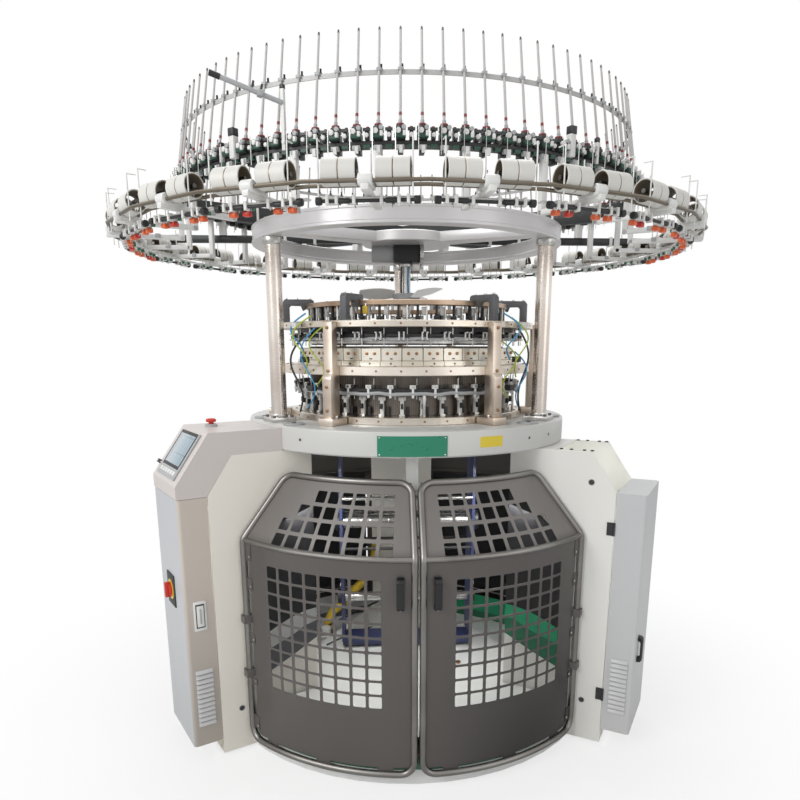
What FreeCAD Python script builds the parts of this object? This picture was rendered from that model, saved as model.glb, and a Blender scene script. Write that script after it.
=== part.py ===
import FreeCAD, Part
import math
import os
import Sketcher
from FreeCAD import Placement, Rotation, Vector

# A circular knitting machine, standing on the floor at z = 0 with its axis on Z.
# Azimuth 0 is the front of the machine (-Y) and grows towards +X.
# All sizes are in millimetres and all angles in degrees.

DOC = FreeCAD.newDocument("CircularKnittingMachine")
SHEET = DOC.addObject("Spreadsheet::Sheet", "Sizes")

DRIVING = {
    # base
    "bed_base": 1225,
    "bed_thickness": 97,
    "bed_radius": 700,
    "bed_bore": 335,
    "clearance": 0.3,
    "running_gap": 0.5,
    "foot_height": 12,
    "foot_radius": 35,
    "leg_width": 330,
    "leg_inner": 560,
    "leg_outer": 985,
    "leg_sheet": 6,
    "leg_cover_plate": 10,
    "leg_cover_reach": 740,
    "leg_corner_run": 100,
    "leg_corner_drop": 146,
    # cabinets on the legs
    "cabinet_depth": 112,
    "cabinet_base": 75,
    "cabinet_drop": 150,
    "cabinet_sheet": 4,
    "cabinet_corner": 14,
    "cabinet_gap": 3,
    "louvre_length": 60,
    "louvre_height": 9,
    "louvre_pitch": 20,
    # control console
    "console_rise": 88,
    "console_top_end": 968,
    "console_slant_drop": 100,
    "bezel_width": 236,
    "bezel_length": 196,
    "bezel_height": 8,
    "screen_width": 190,
    "screen_length": 128,
    # guards
    "guard_radius": 885,
    "guard_top_radius": 697,
    "guard_base": 60,
    "guard_slant_rise": 236,
    "guard_drop": 90,
    "bracket_drop": 130,
    "guard_tube": 26,
    "guard_sheet": 2.5,
    "guard_pane": 46,
    # pillars and gantry
    "pillar_circle": 620,
    "pillar_diameter": 62,
    "pillar_length": 713,
    "collar_diameter": 76,
    "collar_height": 28,
    "flange_width": 104,
    "flange_height": 18,
    "gantry_radius": 658,
    "gantry_inner": 592,
    "gantry_height": 64,
    "spider_radius": 190,
    "spider_height": 40,
    "spider_arm": 84,
    # knitting head
    "cylinder_radius": 430,
    "cylinder_wall": 30,
    "dial_thickness": 22,
    "dial_hub": 62,
    "cylinder_rise": 298,
    "ring_low_radius": 515,
    "ring_low_height": 30,
    "ring_mid_radius": 546,
    "ring_mid_rise": 190,
    "ring_mid_height": 35,
    "ring_step_radius": 482,
    "ring_step_height": 22,
    "ring_top_radius": 556,
    "ring_top_rise": 370,
    "ring_top_height": 25,
    "ring_bore": 436,
    "ring_top_bore": 480,
    "dial_ring_radius": 440,
    "dial_ring_inner": 372,
    "dial_ring_rise": 454,
    "dial_ring_height": 20,
    "cam_plate_radius": 470,
    "cam_plate_height": 45,
    "carrier_radius": 492,
    "carrier_rise": 104,
    "carrier_drop": 30,
    "post_width": 40,
    "shaft_radius": 18,
    "fan_hub": 60,
    "fan_radius": 212,
    # take-down
    "takedown_span": 300,
    "takedown_depth": 200,
    "takedown_ring": 170,
    "takedown_foot": 200,
    "takedown_plate": 12,
    "roller_radius": 32,
    "roller_height": 820,
    "cloth_shaft_height": 430,
    "cloth_shaft_radius": 24,
    "pan_radius": 862,
    "pan_rim": 120,
    "pan_sheet": 10,
    "pan_post": 45,
    # yarn feeding rings
    "beam_side": 32,
    "beam_offset": 327,
    "beam_depth": 64,
    "beam_reach": 1255,
    "feeder_ring_radius": 940,
    "feeder_ring_inner": 885,
    "feeder_ring_rise": 8,
    "feeder_ring_sheet": 12,
    "feeder_height": 48,
    "band_radius": 902,
    "band_rise": 135,
    "band_height": 22,
    "rod_radius": 5.5,
    "rod_rise": 113,
    "rail_radius": 1160,
    "tube_drop": 123,
    "tube_radius": 37,
    "tube_length": 94,
    "tube_shift": 73.5,
    "rail_bar": 8,
    "switch_height": 690,
    "latch_height": 560,
    "pull_height": 375,
}

# Counts of what repeats round the machine.
FEEDERS = 90
RAIL_MODULES = 22
CAM_PLATES = 36
CARRIER_SIDES = 36
CARRIER_STAYS = 6
ROUND_SIDES = 60
LEG_AZIMUTHS = {"left": -60.0, "right": 60.0, "rear": 180.0}
POST_OFFSET = 27.0


class Size:
    """A length with its value and the text that a bound property uses for it."""

    def __init__(self, value, text):
        self.value = float(value)
        self.text = text

    def __add__(self, other):
        other = as_size(other)
        return Size(self.value + other.value, f"({self.text} + {other.text})")

    def __radd__(self, other):
        return as_size(other) + self

    def __sub__(self, other):
        other = as_size(other)
        return Size(self.value - other.value, f"({self.text} - {other.text})")

    def __rsub__(self, other):
        return as_size(other) - self

    def __mul__(self, other):
        other = as_size(other)
        return Size(self.value * other.value, f"({self.text} * {other.text})")

    def __rmul__(self, other):
        return as_size(other) * self

    def __truediv__(self, other):
        other = as_size(other)
        return Size(self.value / other.value, f"({self.text} / {other.text})")

    def __neg__(self):
        return Size(-self.value, f"(0 - {self.text})")

    def __float__(self):
        return self.value


def as_size(number):
    if isinstance(number, Size):
        return number
    return Size(number, f"{float(number):.6f}")


class Sizes:
    """The driving sizes by name."""


for row, (alias, number) in enumerate(DRIVING.items(), start=1):
    SHEET.set(f"A{row}", alias)
    SHEET.set(f"B{row}", str(number))
    SHEET.setAlias(f"B{row}", alias)
    setattr(Sizes, alias, Size(number, f"Sizes.{alias}"))
DOC.recompute()

S = Sizes

# Levels and radii that follow from the driving sizes.
BED_TOP = S.bed_base + S.bed_thickness
GANTRY_BASE = BED_TOP + S.pillar_length
GANTRY_TOP = GANTRY_BASE + S.gantry_height
HALF_LEG = S.leg_width / 2
CABINET_INNER = S.leg_outer + S.cabinet_gap
CABINET_OUTER = CABINET_INNER + S.cabinet_depth
CONSOLE_TOP = S.bed_base + S.console_rise
CYLINDER_BASE = BED_TOP + S.running_gap
CLEAR = S.clearance.value
RING_LOW_TOP = BED_TOP + S.ring_low_height
RING_MID_BASE = BED_TOP + S.ring_mid_rise
RING_MID_TOP = RING_MID_BASE + S.ring_mid_height
STEP_TOP = RING_MID_TOP + S.ring_step_height
PLATE_TOP = STEP_TOP + S.cam_plate_height
RING_TOP_BASE = BED_TOP + S.ring_top_rise
RING_TOP_TOP = RING_TOP_BASE + S.ring_top_height
HUB_BASE = GANTRY_BASE + (S.gantry_height - S.spider_height) / 2
CYLINDER_TOP = BED_TOP + S.cylinder_rise
DIAL_BASE = CYLINDER_TOP + 6
DIAL_RING_BASE = BED_TOP + S.dial_ring_rise
DIAL_RING_TOP = DIAL_RING_BASE + S.dial_ring_height
BEAM_TOP = GANTRY_TOP + S.beam_side
ARM_TOP = BEAM_TOP + S.beam_depth
FEEDER_RING_BASE = ARM_TOP + S.feeder_ring_rise
FEEDER_TOP = FEEDER_RING_BASE + S.feeder_ring_sheet + S.feeder_height
BAND_BASE = FEEDER_TOP + S.band_rise
BAND_TOP = BAND_BASE + S.band_height
ROD_TOP = BAND_TOP + S.rod_rise
TUBE_CENTRE = FEEDER_RING_BASE - S.tube_drop
CABINET_TOP = S.bed_base - S.cabinet_drop
CONSOLE_SLANT_BASE = S.bed_base - S.console_slant_drop
GUARD_TOP = S.bed_base - S.guard_drop
GUARD_SHOULDER = GUARD_TOP - S.guard_slant_rise

NODES = {}


def keep(node, label):
    """Takes an object of the document as a finished sub-part of the machine."""
    node.Label = label
    NODES[label] = node
    return node


def bind(node, **sizes):
    """Binds properties to sizes of the sheet: bind(box, Length=S.leg_width)."""
    for name, size in sizes.items():
        node.setExpression(name.replace("__", "."), as_size(size).text)
    return node


def turned(azimuth):
    """The turn about Z that brings +X to point outwards at an azimuth."""
    return Rotation(Vector(0, 0, 1), azimuth - 90.0)


def outward(azimuth, radius, height=0.0):
    """The point at an azimuth, a radius and a height."""
    angle = math.radians(azimuth)
    return Vector(math.sin(angle) * float(radius), -math.cos(angle) * float(radius), float(height))


def sketch_in(body, role, name):
    """A new sketch on one of a body's origin planes."""
    plane = [f for f in body.Origin.OriginFeatures if f.Role == role][0]
    sketch = body.newObject("Sketcher::SketchObject", name)
    sketch.AttachmentSupport = [(plane, "")]
    sketch.MapMode = "FlatFace"
    return sketch


def draw_outline(sketch, points):
    """Draws a closed outline whose corners are bound to pairs of sizes."""
    corners = [(as_size(x), as_size(y)) for x, y in points]
    first = sketch.GeometryCount
    count = len(corners)
    for index, (x, y) in enumerate(corners):
        next_x, next_y = corners[(index + 1) % count]
        line = Part.LineSegment(
            Vector(x.value, y.value, 0), Vector(next_x.value, next_y.value, 0)
        )
        sketch.addGeometry(line, False)
    for index in range(count):
        joined = first + (index + 1) % count
        sketch.addConstraint(Sketcher.Constraint("Coincident", first + index, 2, joined, 1))
    for index, corner in enumerate(corners):
        for kind, size in zip(("DistanceX", "DistanceY"), corner):
            number = sketch.addConstraint(
                Sketcher.Constraint(kind, -1, 1, first + index, 1, size.value)
            )
            if "Sizes" in size.text:
                name = f"{kind}{first + index}"
                sketch.renameConstraint(number, name)
                sketch.setExpression(f"Constraints.{name}", size.text)


def draw_circle(sketch, x, y, radius):
    """Draws a circle whose centre and radius are bound to sizes."""
    x, y, radius = as_size(x), as_size(y), as_size(radius)
    index = sketch.addGeometry(
        Part.Circle(Vector(x.value, y.value, 0), Vector(0, 0, 1), radius.value), False
    )
    for kind, size in (("DistanceX", x), ("DistanceY", y)):
        number = sketch.addConstraint(Sketcher.Constraint(kind, -1, 1, index, 3, size.value))
        if "Sizes" in size.text:
            sketch.renameConstraint(number, f"{kind}c{index}")
            sketch.setExpression(f"Constraints.{kind}c{index}", size.text)
    number = sketch.addConstraint(Sketcher.Constraint("Radius", index, radius.value))
    sketch.renameConstraint(number, f"Radius{index}")
    sketch.setExpression(f"Constraints.Radius{index}", radius.text)


def pad(body, role, points, length, name="Pad", holes=()):
    """Pads an outline to both sides of its plane."""
    sketch = sketch_in(body, role, name + "Sketch")
    draw_outline(sketch, points)
    for hole in holes:
        draw_circle(sketch, *hole)
    feature = body.newObject("PartDesign::Pad", name)
    feature.Profile = sketch
    feature.SideType = "Symmetric"
    bind(feature, Length=length)
    return feature


def pocket(body, role, points, length, name="Pocket"):
    """Cuts an outline out to both sides of its plane."""
    sketch = sketch_in(body, role, name + "Sketch")
    draw_outline(sketch, points)
    feature = body.newObject("PartDesign::Pocket", name)
    feature.Profile = sketch
    feature.SideType = "Symmetric"
    bind(feature, Length=length)
    return feature


def new_body(label):
    return keep(DOC.addObject("PartDesign::Body", label), label)


def polygon(radius, corners, first=0.0):
    """The corners of a regular outline whose radius is a size."""
    points = []
    for index in range(corners):
        angle = math.radians(first + 360.0 * index / corners)
        points.append((radius * math.cos(angle), radius * math.sin(angle)))
    return points


def raised_sketch(body, name, height):
    """A new level sketch at a height that is bound to a size."""
    sketch = sketch_in(body, "XY_Plane", name)
    bind(sketch, AttachmentOffset__Base__z=height)
    return sketch


def raise_pad(body, name, height, length, circles=(), outlines=()):
    """Pads circles and outlines upwards from a height."""
    sketch = raised_sketch(body, name + "Sketch", height)
    for circle in circles:
        draw_circle(sketch, *circle)
    for outline in outlines:
        draw_outline(sketch, outline)
    feature = body.newObject("PartDesign::Pad", name)
    feature.Profile = sketch
    bind(feature, Length=length)
    return feature


def upright_prism(name, radius, corners, low, height):
    """An upright prism whose radius, level and height are bound to sizes."""
    made = DOC.addObject("Part::Prism", name)
    made.Polygon = corners
    return bind(made, Circumradius=radius, Height=height, Placement__Base__z=low)


def flat_ring(name, radius, bore, low, height, flats=CAM_PLATES):
    """A ring with many flats outside and one flat for each cam plate in its bore."""
    ring = DOC.addObject("Part::Cut", name)
    ring.Base = upright_prism(f"{name}_rim", radius, ROUND_SIDES, low, height)
    ring.Tool = upright_prism(f"{name}_bore", bore, flats, low, height)
    return ring


def ring_part(label, radius, bore, low, height):
    return keep(flat_ring(label, radius, bore, low, height), label)


def box_shape(x, y, z, size_x, size_y, size_z):
    """A block from its lowest corner, for shapes made by code."""
    return Part.makeBox(
        float(size_x), float(size_y), float(size_z), Vector(float(x), float(y), float(z))
    )


def placed(shape, azimuth):
    """A copy of a shape made at azimuth +X, turned to its own azimuth."""
    copy = shape.copy()
    copy.Placement = Placement(Vector(0, 0, 0), turned(azimuth)).multiply(copy.Placement)
    return copy


def shaped(label, shape, azimuth=None):
    """A sub-part whose shape is made by code from the sheet's sizes."""
    node = DOC.addObject("Part::Feature", label)
    node.Shape = shape
    if azimuth is not None:
        node.Placement = Placement(Vector(0, 0, 0), turned(azimuth))
    return keep(node, label)


def flat_face(points):
    """A flat face on a closed outline of points."""
    return Part.Face(Part.makePolygon(list(points) + [points[0]]))


def prism(corners, depth):
    """A straight prism on a closed outline of points, grown along a vector."""
    return flat_face([Vector(*corner) for corner in corners]).extrude(depth)


def upright(radius, low, high, corners=12, x=0.0, y=0.0):
    """An upright bar with a regular outline."""
    points = []
    for index in range(corners):
        angle = 2 * math.pi * (index + 0.5) / corners
        points.append((x + radius * math.cos(angle), y + radius * math.sin(angle), float(low)))
    return prism(points, Vector(0, 0, float(high) - float(low)))


def upright_ring(radius, bore, low, high, corners=24):
    """An upright ring with regular outlines."""
    return upright(radius, low, high, corners).cut(upright(bore, low, high, corners))


def solid_of(faces):
    """A solid closed by flat faces."""
    solid = Part.makeSolid(Part.makeShell([flat_face(points) for points in faces]))
    if solid.Volume < 0:
        solid.reverse()
    return solid


def bent_bar(points, radius, corners=8, closed=False, phase=0.5):
    """A bar with a regular outline along straight stretches, mitred where they meet."""
    count = len(points)
    runs = count if closed else count - 1
    ways = [(points[(i + 1) % count] - points[i]).normalize() for i in range(runs)]

    def moved(ring, way, spot, normal):
        return [p + way * ((spot - p).dot(normal) / way.dot(normal)) for p in ring]

    side = ways[0].cross(Vector(0, 0, 1))
    if side.Length < 0.01:
        side = Vector(1, 0, 0)
    side.normalize()
    over = side.cross(ways[0])
    ring = []
    for index in range(corners):
        angle = 2 * math.pi * (index + phase) / corners
        ring.append(points[0] + side * (radius * math.cos(angle)) + over * (radius * math.sin(angle)))
    if closed:
        ring = moved(ring, ways[0], points[0], ways[-1] + ways[0])
    rings = [ring]
    for index in range(runs):
        spot = points[(index + 1) % count]
        following = ways[(index + 1) % runs] if closed or index + 1 < runs else ways[index]
        rings.append(moved(rings[-1], ways[index], spot, ways[index] + following))
    if closed:
        rings[-1] = rings[0]
    faces = []
    for first, second in zip(rings, rings[1:]):
        for index in range(corners):
            other = (index + 1) % corners
            faces.append([first[index], first[other], second[other], second[index]])
    if not closed:
        faces += [rings[0], rings[-1]]
    return solid_of(faces)


def moved_by(shape, placement):
    """A copy of a shape whose geometry is moved by a placement."""
    return shape.transformed(placement.toMatrix(), True)


def rod(start, end, radius, corners=6):
    """A straight bar with a regular outline between two points."""
    axis = end - start
    turn = Rotation(Vector(0, 0, 1), axis)
    points = []
    for index in range(corners):
        angle = 2 * math.pi * (index + 0.5) / corners
        local = Vector(math.cos(angle) * radius, math.sin(angle) * radius, 0)
        points.append(start + turn.multVec(local))
    wire = Part.makePolygon(points + [points[0]])
    return Part.Face(wire).extrude(axis)


# --- Bed, legs and floor pan -------------------------------------------------


def make_bed():
    """The bed: a thick ring that carries the pillars and the cam rings."""
    ring_part("bed_plate", S.bed_radius, S.bed_bore, S.bed_base, S.bed_thickness)


def make_leg(side):
    """A leg: a folded sheet box, open at the cut corner and towards its cabinet."""
    body = new_body(f"leg_{side}")
    body.Placement = Placement(Vector(0, 0, 0), turned(LEG_AZIMUTHS[side]))
    outline = [
        (S.leg_inner, S.foot_height),
        (S.leg_outer, S.foot_height),
        (S.leg_outer, S.bed_base - S.leg_corner_drop),
        (S.leg_outer - S.leg_corner_run, S.bed_base),
        (S.leg_inner, S.bed_base),
    ]
    pad(body, "XZ_Plane", outline, S.leg_width, "Box")
    inside = [
        (S.leg_inner + S.leg_sheet, S.foot_height + S.leg_sheet),
        (S.leg_outer + S.leg_sheet, S.foot_height + S.leg_sheet),
        (S.leg_outer + S.leg_sheet, S.bed_base + S.leg_sheet),
        (S.leg_cover_reach, S.bed_base + S.leg_sheet),
        (S.leg_cover_reach, S.bed_base - S.leg_cover_plate),
        (S.leg_inner + S.leg_sheet, S.bed_base - S.leg_cover_plate),
    ]
    pocket(body, "XZ_Plane", inside, S.leg_width - S.leg_sheet * 2, "Hollow")
    foot_inset = S.foot_radius + S.leg_sheet * 3
    for name, centre in (
        ("InnerFoot", S.leg_inner + foot_inset),
        ("OuterFoot", S.leg_outer - foot_inset),
    ):
        corners = [(centre + x, y) for x, y in polygon(S.foot_radius, 8, 22.5)]
        raise_pad(body, name, 0, S.foot_height, outlines=[corners])


def make_pan():
    """The floor pan between the legs, with a raised rim and the take-down's bearing post."""
    body = new_body("floor_pan")
    low = S.foot_height / 3
    outline = polygon(S.pan_radius, 48)
    raise_pad(body, "Floor", low, S.pan_sheet, outlines=[outline])
    inner = polygon(S.pan_radius - S.pan_sheet, 48)
    raise_pad(body, "Rim", low, S.pan_rim, outlines=[outline, inner])
    post = polygon(S.pan_post, 12)
    raise_pad(body, "Post", low, S.takedown_foot - 1 - low, outlines=[post])
    for side, azimuth in LEG_AZIMUTHS.items():
        sketch = sketch_in(body, "XY_Plane", f"Notch_{side}")
        reach = [S.leg_inner - 5, S.pan_radius + 20]
        half = HALF_LEG + 5
        corners = []
        for along, across in ((0, -1), (1, -1), (1, 1), (0, 1)):
            angle = math.radians(azimuth)
            x = reach[along] * math.sin(angle) + half * (across * math.cos(angle))
            y = reach[along] * -math.cos(angle) + half * (across * math.sin(angle))
            corners.append((x, y))
        draw_outline(sketch, corners)
        feature = body.newObject("PartDesign::Pocket", f"NotchCut_{side}")
        feature.Profile = sketch
        feature.SideType = "Symmetric"
        bind(feature, Length=S.pan_rim * 2 + 40)


def make_front_bracket():
    """The bracket under the bed's front edge that the two front guards close against."""
    drop = S.bracket_drop.value
    inner = S.guard_top_radius.value - 79
    bracket = box_shape(inner, -23, S.bed_base.value - drop, 26, 46, drop)
    foot = box_shape(inner - 20, -23, S.bed_base.value - 12, 66, 46, 12)
    shaped("front_bracket", bracket.fuse(foot), -1.0)


# --- Cabinet covers ----------------------------------------------------------


def make_cover(side, front):
    """A cabinet cover: a sheet casing, open towards its leg, with louvres in one side."""
    body = new_body(f"{side}_cabinet_cover")
    body.Placement = Placement(Vector(0, 0, 0), turned(LEG_AZIMUTHS[side]))
    outline = [
        (CABINET_INNER, S.cabinet_base),
        (CABINET_OUTER, S.cabinet_base),
        (CABINET_OUTER, CABINET_TOP),
        (CABINET_INNER, CABINET_TOP),
    ]
    case = pad(body, "XZ_Plane", outline, S.leg_width, "Case")
    DOC.recompute()
    edges = []
    for number, edge in enumerate(case.Shape.Edges, start=1):
        centre = edge.CenterOfMass
        upright = abs(edge.tangentAt(edge.FirstParameter).z) > 0.9
        if upright and centre.x > (CABINET_INNER + S.cabinet_depth / 2).value:
            edges.append(f"Edge{number}")
    corner = body.newObject("PartDesign::Fillet", "Corners")
    corner.Base = (case, edges)
    bind(corner, Radius=S.cabinet_corner)
    sheet = S.cabinet_sheet
    inside = [
        (CABINET_INNER - sheet, S.cabinet_base + sheet),
        (CABINET_OUTER - sheet, S.cabinet_base + sheet),
        (CABINET_OUTER - sheet, CABINET_TOP - sheet),
        (CABINET_INNER - sheet, CABINET_TOP - sheet),
    ]
    pocket(body, "XZ_Plane", inside, S.leg_width - sheet * 2 - S.cabinet_corner, "Inside")
    if side == "rear":
        return
    slots = sketch_in(body, "XZ_Plane", "LouvreSketch")
    middle = (CABINET_INNER + CABINET_OUTER) / 2
    for index in range(12):
        low = S.cabinet_base + 90 + S.louvre_pitch * index
        draw_outline(
            slots,
            [
                (middle - S.louvre_length / 2, low),
                (middle + S.louvre_length / 2, low),
                (middle + S.louvre_length / 2, low + S.louvre_height),
                (middle - S.louvre_length / 2, low + S.louvre_height),
            ],
        )
    cut = body.newObject("PartDesign::Pocket", "Louvres")
    cut.Profile = slots
    cut.Reversed = front < 0
    bind(cut, Length=S.leg_width)


# --- Control console ---------------------------------------------------------


def console_frame():
    """The slanted face of the console: its middle, its down-slope direction and its normal."""
    top = Vector(S.console_top_end.value, 0, CONSOLE_TOP.value)
    low = Vector(CABINET_OUTER.value, 0, CONSOLE_SLANT_BASE.value)
    down = (low - top).normalize()
    normal = Vector(-down.z, 0, down.x)
    return (top + low) / 2, down, normal


def slanted_block(width, length, height, lift, along=0.0, across=0.0):
    """A block that lies on the console's slanted face."""
    middle, down, normal = console_frame()
    block = box_shape(-length / 2, -width / 2, 0, length, width, height)
    turn = Rotation(down, Vector(0, 1, 0), normal, "XYZ")
    spot = middle + normal * lift + down * along + Vector(0, across, 0)
    return moved_by(block, Placement(spot, turn))


def make_console():
    """The control console on the left leg, cut to the bed's rim."""
    outline = [
        (S.bed_radius * 0.94, S.bed_base + S.clearance),
        (S.leg_outer - S.leg_corner_run, S.bed_base + S.clearance),
        (CABINET_INNER, CABINET_TOP + 1.5),
        (CABINET_OUTER, CABINET_TOP + 1.5),
        (CABINET_OUTER, CONSOLE_SLANT_BASE),
        (S.console_top_end, CONSOLE_TOP),
        (S.bed_radius * 0.94, CONSOLE_TOP),
    ]
    body = DOC.addObject("PartDesign::Body", "console_block")
    pad(body, "XZ_Plane", outline, S.leg_width, "Block")
    rim = DOC.addObject("Part::Cylinder", "bed_rim")
    low = S.bed_base - S.console_rise
    bind(rim, Radius=S.bed_radius + S.clearance, Height=S.console_rise * 3, Placement__Base__z=low)
    cut = DOC.addObject("Part::Cut", "control_console")
    cut.Base = body
    cut.Tool = rim
    cut.Placement = Placement(Vector(0, 0, 0), turned(LEG_AZIMUTHS["left"]))
    keep(cut, "control_console")

    azimuth = LEG_AZIMUTHS["left"]
    bezel = slanted_block(S.bezel_width.value, S.bezel_length.value, S.bezel_height.value, 0.0)
    well_depth = S.bezel_height.value / 2
    well = slanted_block(
        S.screen_width.value, S.screen_length.value, S.bezel_height.value, well_depth, -20.0
    )
    shaped("screen_bezel", bezel.cut(well), azimuth)
    glass = slanted_block(
        S.screen_width.value - 2 * CLEAR,
        S.screen_length.value - 2 * CLEAR,
        well_depth - 1,
        well_depth,
        -20.0,
    )
    shaped("touch_screen", glass, azimuth)

    edge = -S.bezel_width.value / 2
    stem = slanted_block(34, 7, 7, CLEAR, 58.0, edge - 17 - CLEAR)
    grip = slanted_block(30, 16, 9, CLEAR, 58.0, edge - 34 - 15 - CLEAR)
    shaped("data_stick", stem.fuse(grip), azimuth)


def make_stop_button():
    """The emergency stop: a collar on the console's top and a mushroom button that is pushed down."""
    azimuth = LEG_AZIMUTHS["left"]
    centre = Vector(S.console_top_end.value - 76, -40, CONSOLE_TOP.value)
    low, x, y = centre.z, centre.x, centre.y
    collar = upright(24, low, low + 10, 16, x, y).cut(upright(10.4, low, low + 10, 12, x, y))
    shaped("stop_button_collar", collar, azimuth)
    stem = upright(10, low + 6 + CLEAR, low + 24, 12, x, y)
    head = upright(20, low + 18, low + 32, 16, x, y)
    shaped("stop_button", stem.fuse(head), azimuth)


def make_cover_fittings():
    """The main switch and latch on the left cover and the pull handle on the right cover."""
    outer = CABINET_OUTER.value
    left = LEG_AZIMUTHS["left"]
    switch_height = S.switch_height.value
    plate = box_shape(outer, -50, switch_height - 65, 5, 100, 130)
    shaped("main_switch_plate", plate, left)
    hub_start = Vector(outer + 5 + CLEAR, 0, switch_height)
    hub = rod(hub_start, hub_start + Vector(10, 0, 0), 26, 16)
    bar = box_shape(outer + 5 + CLEAR, -9, switch_height - 30, 24, 18, 60)
    shaped("main_switch_knob", hub.fuse(bar), left)

    front = HALF_LEG.value
    middle = ((CABINET_INNER + CABINET_OUTER) / 2).value
    low = S.latch_height.value
    latch = box_shape(middle - 24, front, low, 48, 4, 118)
    latch = latch.cut(box_shape(middle - 15, front + 1.5, low + 15, 30, 4, 88))
    latch = latch.fuse(box_shape(middle - 3, front + 1, low + 25, 6, 6, 68))
    shaped("left_cover_latch", latch, left)

    right = LEG_AZIMUTHS["right"]
    grip_low = S.pull_height.value
    grip = box_shape(outer, -110, grip_low, 20, 26, 110)
    grip = grip.cut(box_shape(outer, -110, grip_low + 18, 11, 26, 74))
    shaped("right_cover_handle", grip, right)


def cover_hinges():
    """A leaf and a knuckle on the leg, at the covers' hinges and as the right cover's catches."""
    solids = []
    face = HALF_LEG.value
    for side, across in (("left", -1), ("right", 1), ("right", -1), ("rear", -1)):
        for low in ((S.cabinet_base + 130).value, (CABINET_TOP - 170).value):
            leaf = box_shape(S.leg_outer.value - 26, face, low, 26, 3, 52)
            knuckle = upright(4.5, low, low + 52, 8, S.leg_outer.value + 1.5, face + 4.2)
            hinge = leaf.fuse(knuckle)
            if across < 0:
                hinge = hinge.mirror(Vector(0, 0, 0), Vector(0, 1, 0))
            solids.append(placed(hinge, LEG_AZIMUTHS[side]))
    return solids


# --- Guards ------------------------------------------------------------------

GUARD_FIRST = 1.0
SIDE_OFFSET = HALF_LEG + S.guard_tube / 2 + 5


def side_azimuth(radius):
    """The azimuth at which a circle meets the plane of a guard's side tube."""
    return 60.0 - math.degrees(math.asin(SIDE_OFFSET.value / radius))


def rounded(points, radius, steps=3):
    """A path through points, with every inner corner rounded in straight steps."""
    path = [points[0]]
    for before, corner, after in zip(points, points[1:], points[2:]):
        one = (before - corner).normalize()
        two = (after - corner).normalize()
        turn = math.pi - one.getAngle(two)
        if turn < 0.35:
            path.append(corner)
            continue
        reach = radius * math.tan(turn / 2)
        centre = corner + (one + two).normalize() * (radius / math.cos(turn / 2))
        start = corner + one * reach - centre
        across = start.cross(corner + two * reach - centre).normalize()
        for step in range(steps + 1):
            angle = math.degrees(turn) * step / steps
            path.append(centre + Rotation(across, angle).multVec(start))
    path.append(points[-1])
    return path


def level_path(radius, height, first, last, steps):
    """Points along a level circle between two azimuths."""
    return [
        outward(first + (last - first) * step / steps, radius, height) for step in range(steps + 1)
    ]


def guard_frame():
    """The bent tube frame of one front guard, at the right of the machine's front."""
    radius, top_radius = S.guard_radius.value, S.guard_top_radius.value
    bend, tube = 60.0, S.guard_tube.value / 2
    base, shoulder, top = S.guard_base.value, GUARD_SHOULDER.value, GUARD_TOP.value
    side_low, side_top = side_azimuth(radius), side_azimuth(top_radius)
    free_top = GUARD_FIRST * radius / top_radius
    low_arc = level_path(radius, base, GUARD_FIRST, side_low, 7)
    top_arc = level_path(top_radius, top, free_top, side_top, 7)
    shoulder_in = outward(GUARD_FIRST, radius, shoulder)
    shoulder_out = outward(side_low, radius, shoulder)
    lean_in = (top_arc[0] - shoulder_in).normalize() * tube * 0.36
    lean_out = (top_arc[-1] - shoulder_out).normalize() * tube * 0.36
    over = Vector(0, 0, tube * 0.36)
    lower = rounded([shoulder_in + over] + low_arc + [shoulder_out + over], bend)
    upper = rounded([shoulder_in - lean_in] + top_arc + [shoulder_out - lean_out], bend * 0.7)
    middle = level_path(radius, shoulder, GUARD_FIRST, side_low, 9)
    bars = ((lower, 1.0), (upper, 0.96), (middle, 0.8))
    return [bent_bar(path, tube * share, 6) for path, share in bars]


def faceted_wall(radius, sheet, low, high, azimuths):
    """An upright curved sheet, folded at a list of azimuths."""
    outer = [outward(azimuth, radius, low) for azimuth in azimuths]
    inner = [outward(azimuth, radius - sheet, low) for azimuth in reversed(azimuths)]
    return flat_face(outer + inner).extrude(Vector(0, 0, high - low))


def faceted_cone(low_end, high_end, sheet, azimuths):
    """A slanted curved sheet, folded at a list of azimuths, between two radii and heights."""
    (low_radius, low), (high_radius, high) = low_end, high_end
    slope = math.atan2(high - low, low_radius - high_radius)
    inward, down = math.sin(slope) * sheet, math.cos(slope) * sheet
    corners = (
        (low_radius, low),
        (high_radius, high),
        (high_radius - inward, high - down),
        (low_radius - inward, low - down),
    )
    sections = [[outward(azimuth, r, z) for r, z in corners] for azimuth in azimuths]
    faces = [sections[0], sections[-1]]
    for one, two in zip(sections, sections[1:]):
        for index in range(4):
            other = (index + 1) % 4
            faces.append([one[index], one[other], two[other], two[index]])
    return solid_of(faces)


PANE_FIRST = 10.3
PANE_PITCH = 3.9
PANE_COLUMNS = 8
PANE_ROWS = 9
SLANT_ROWS = (8, 8, 7, 6)


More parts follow.
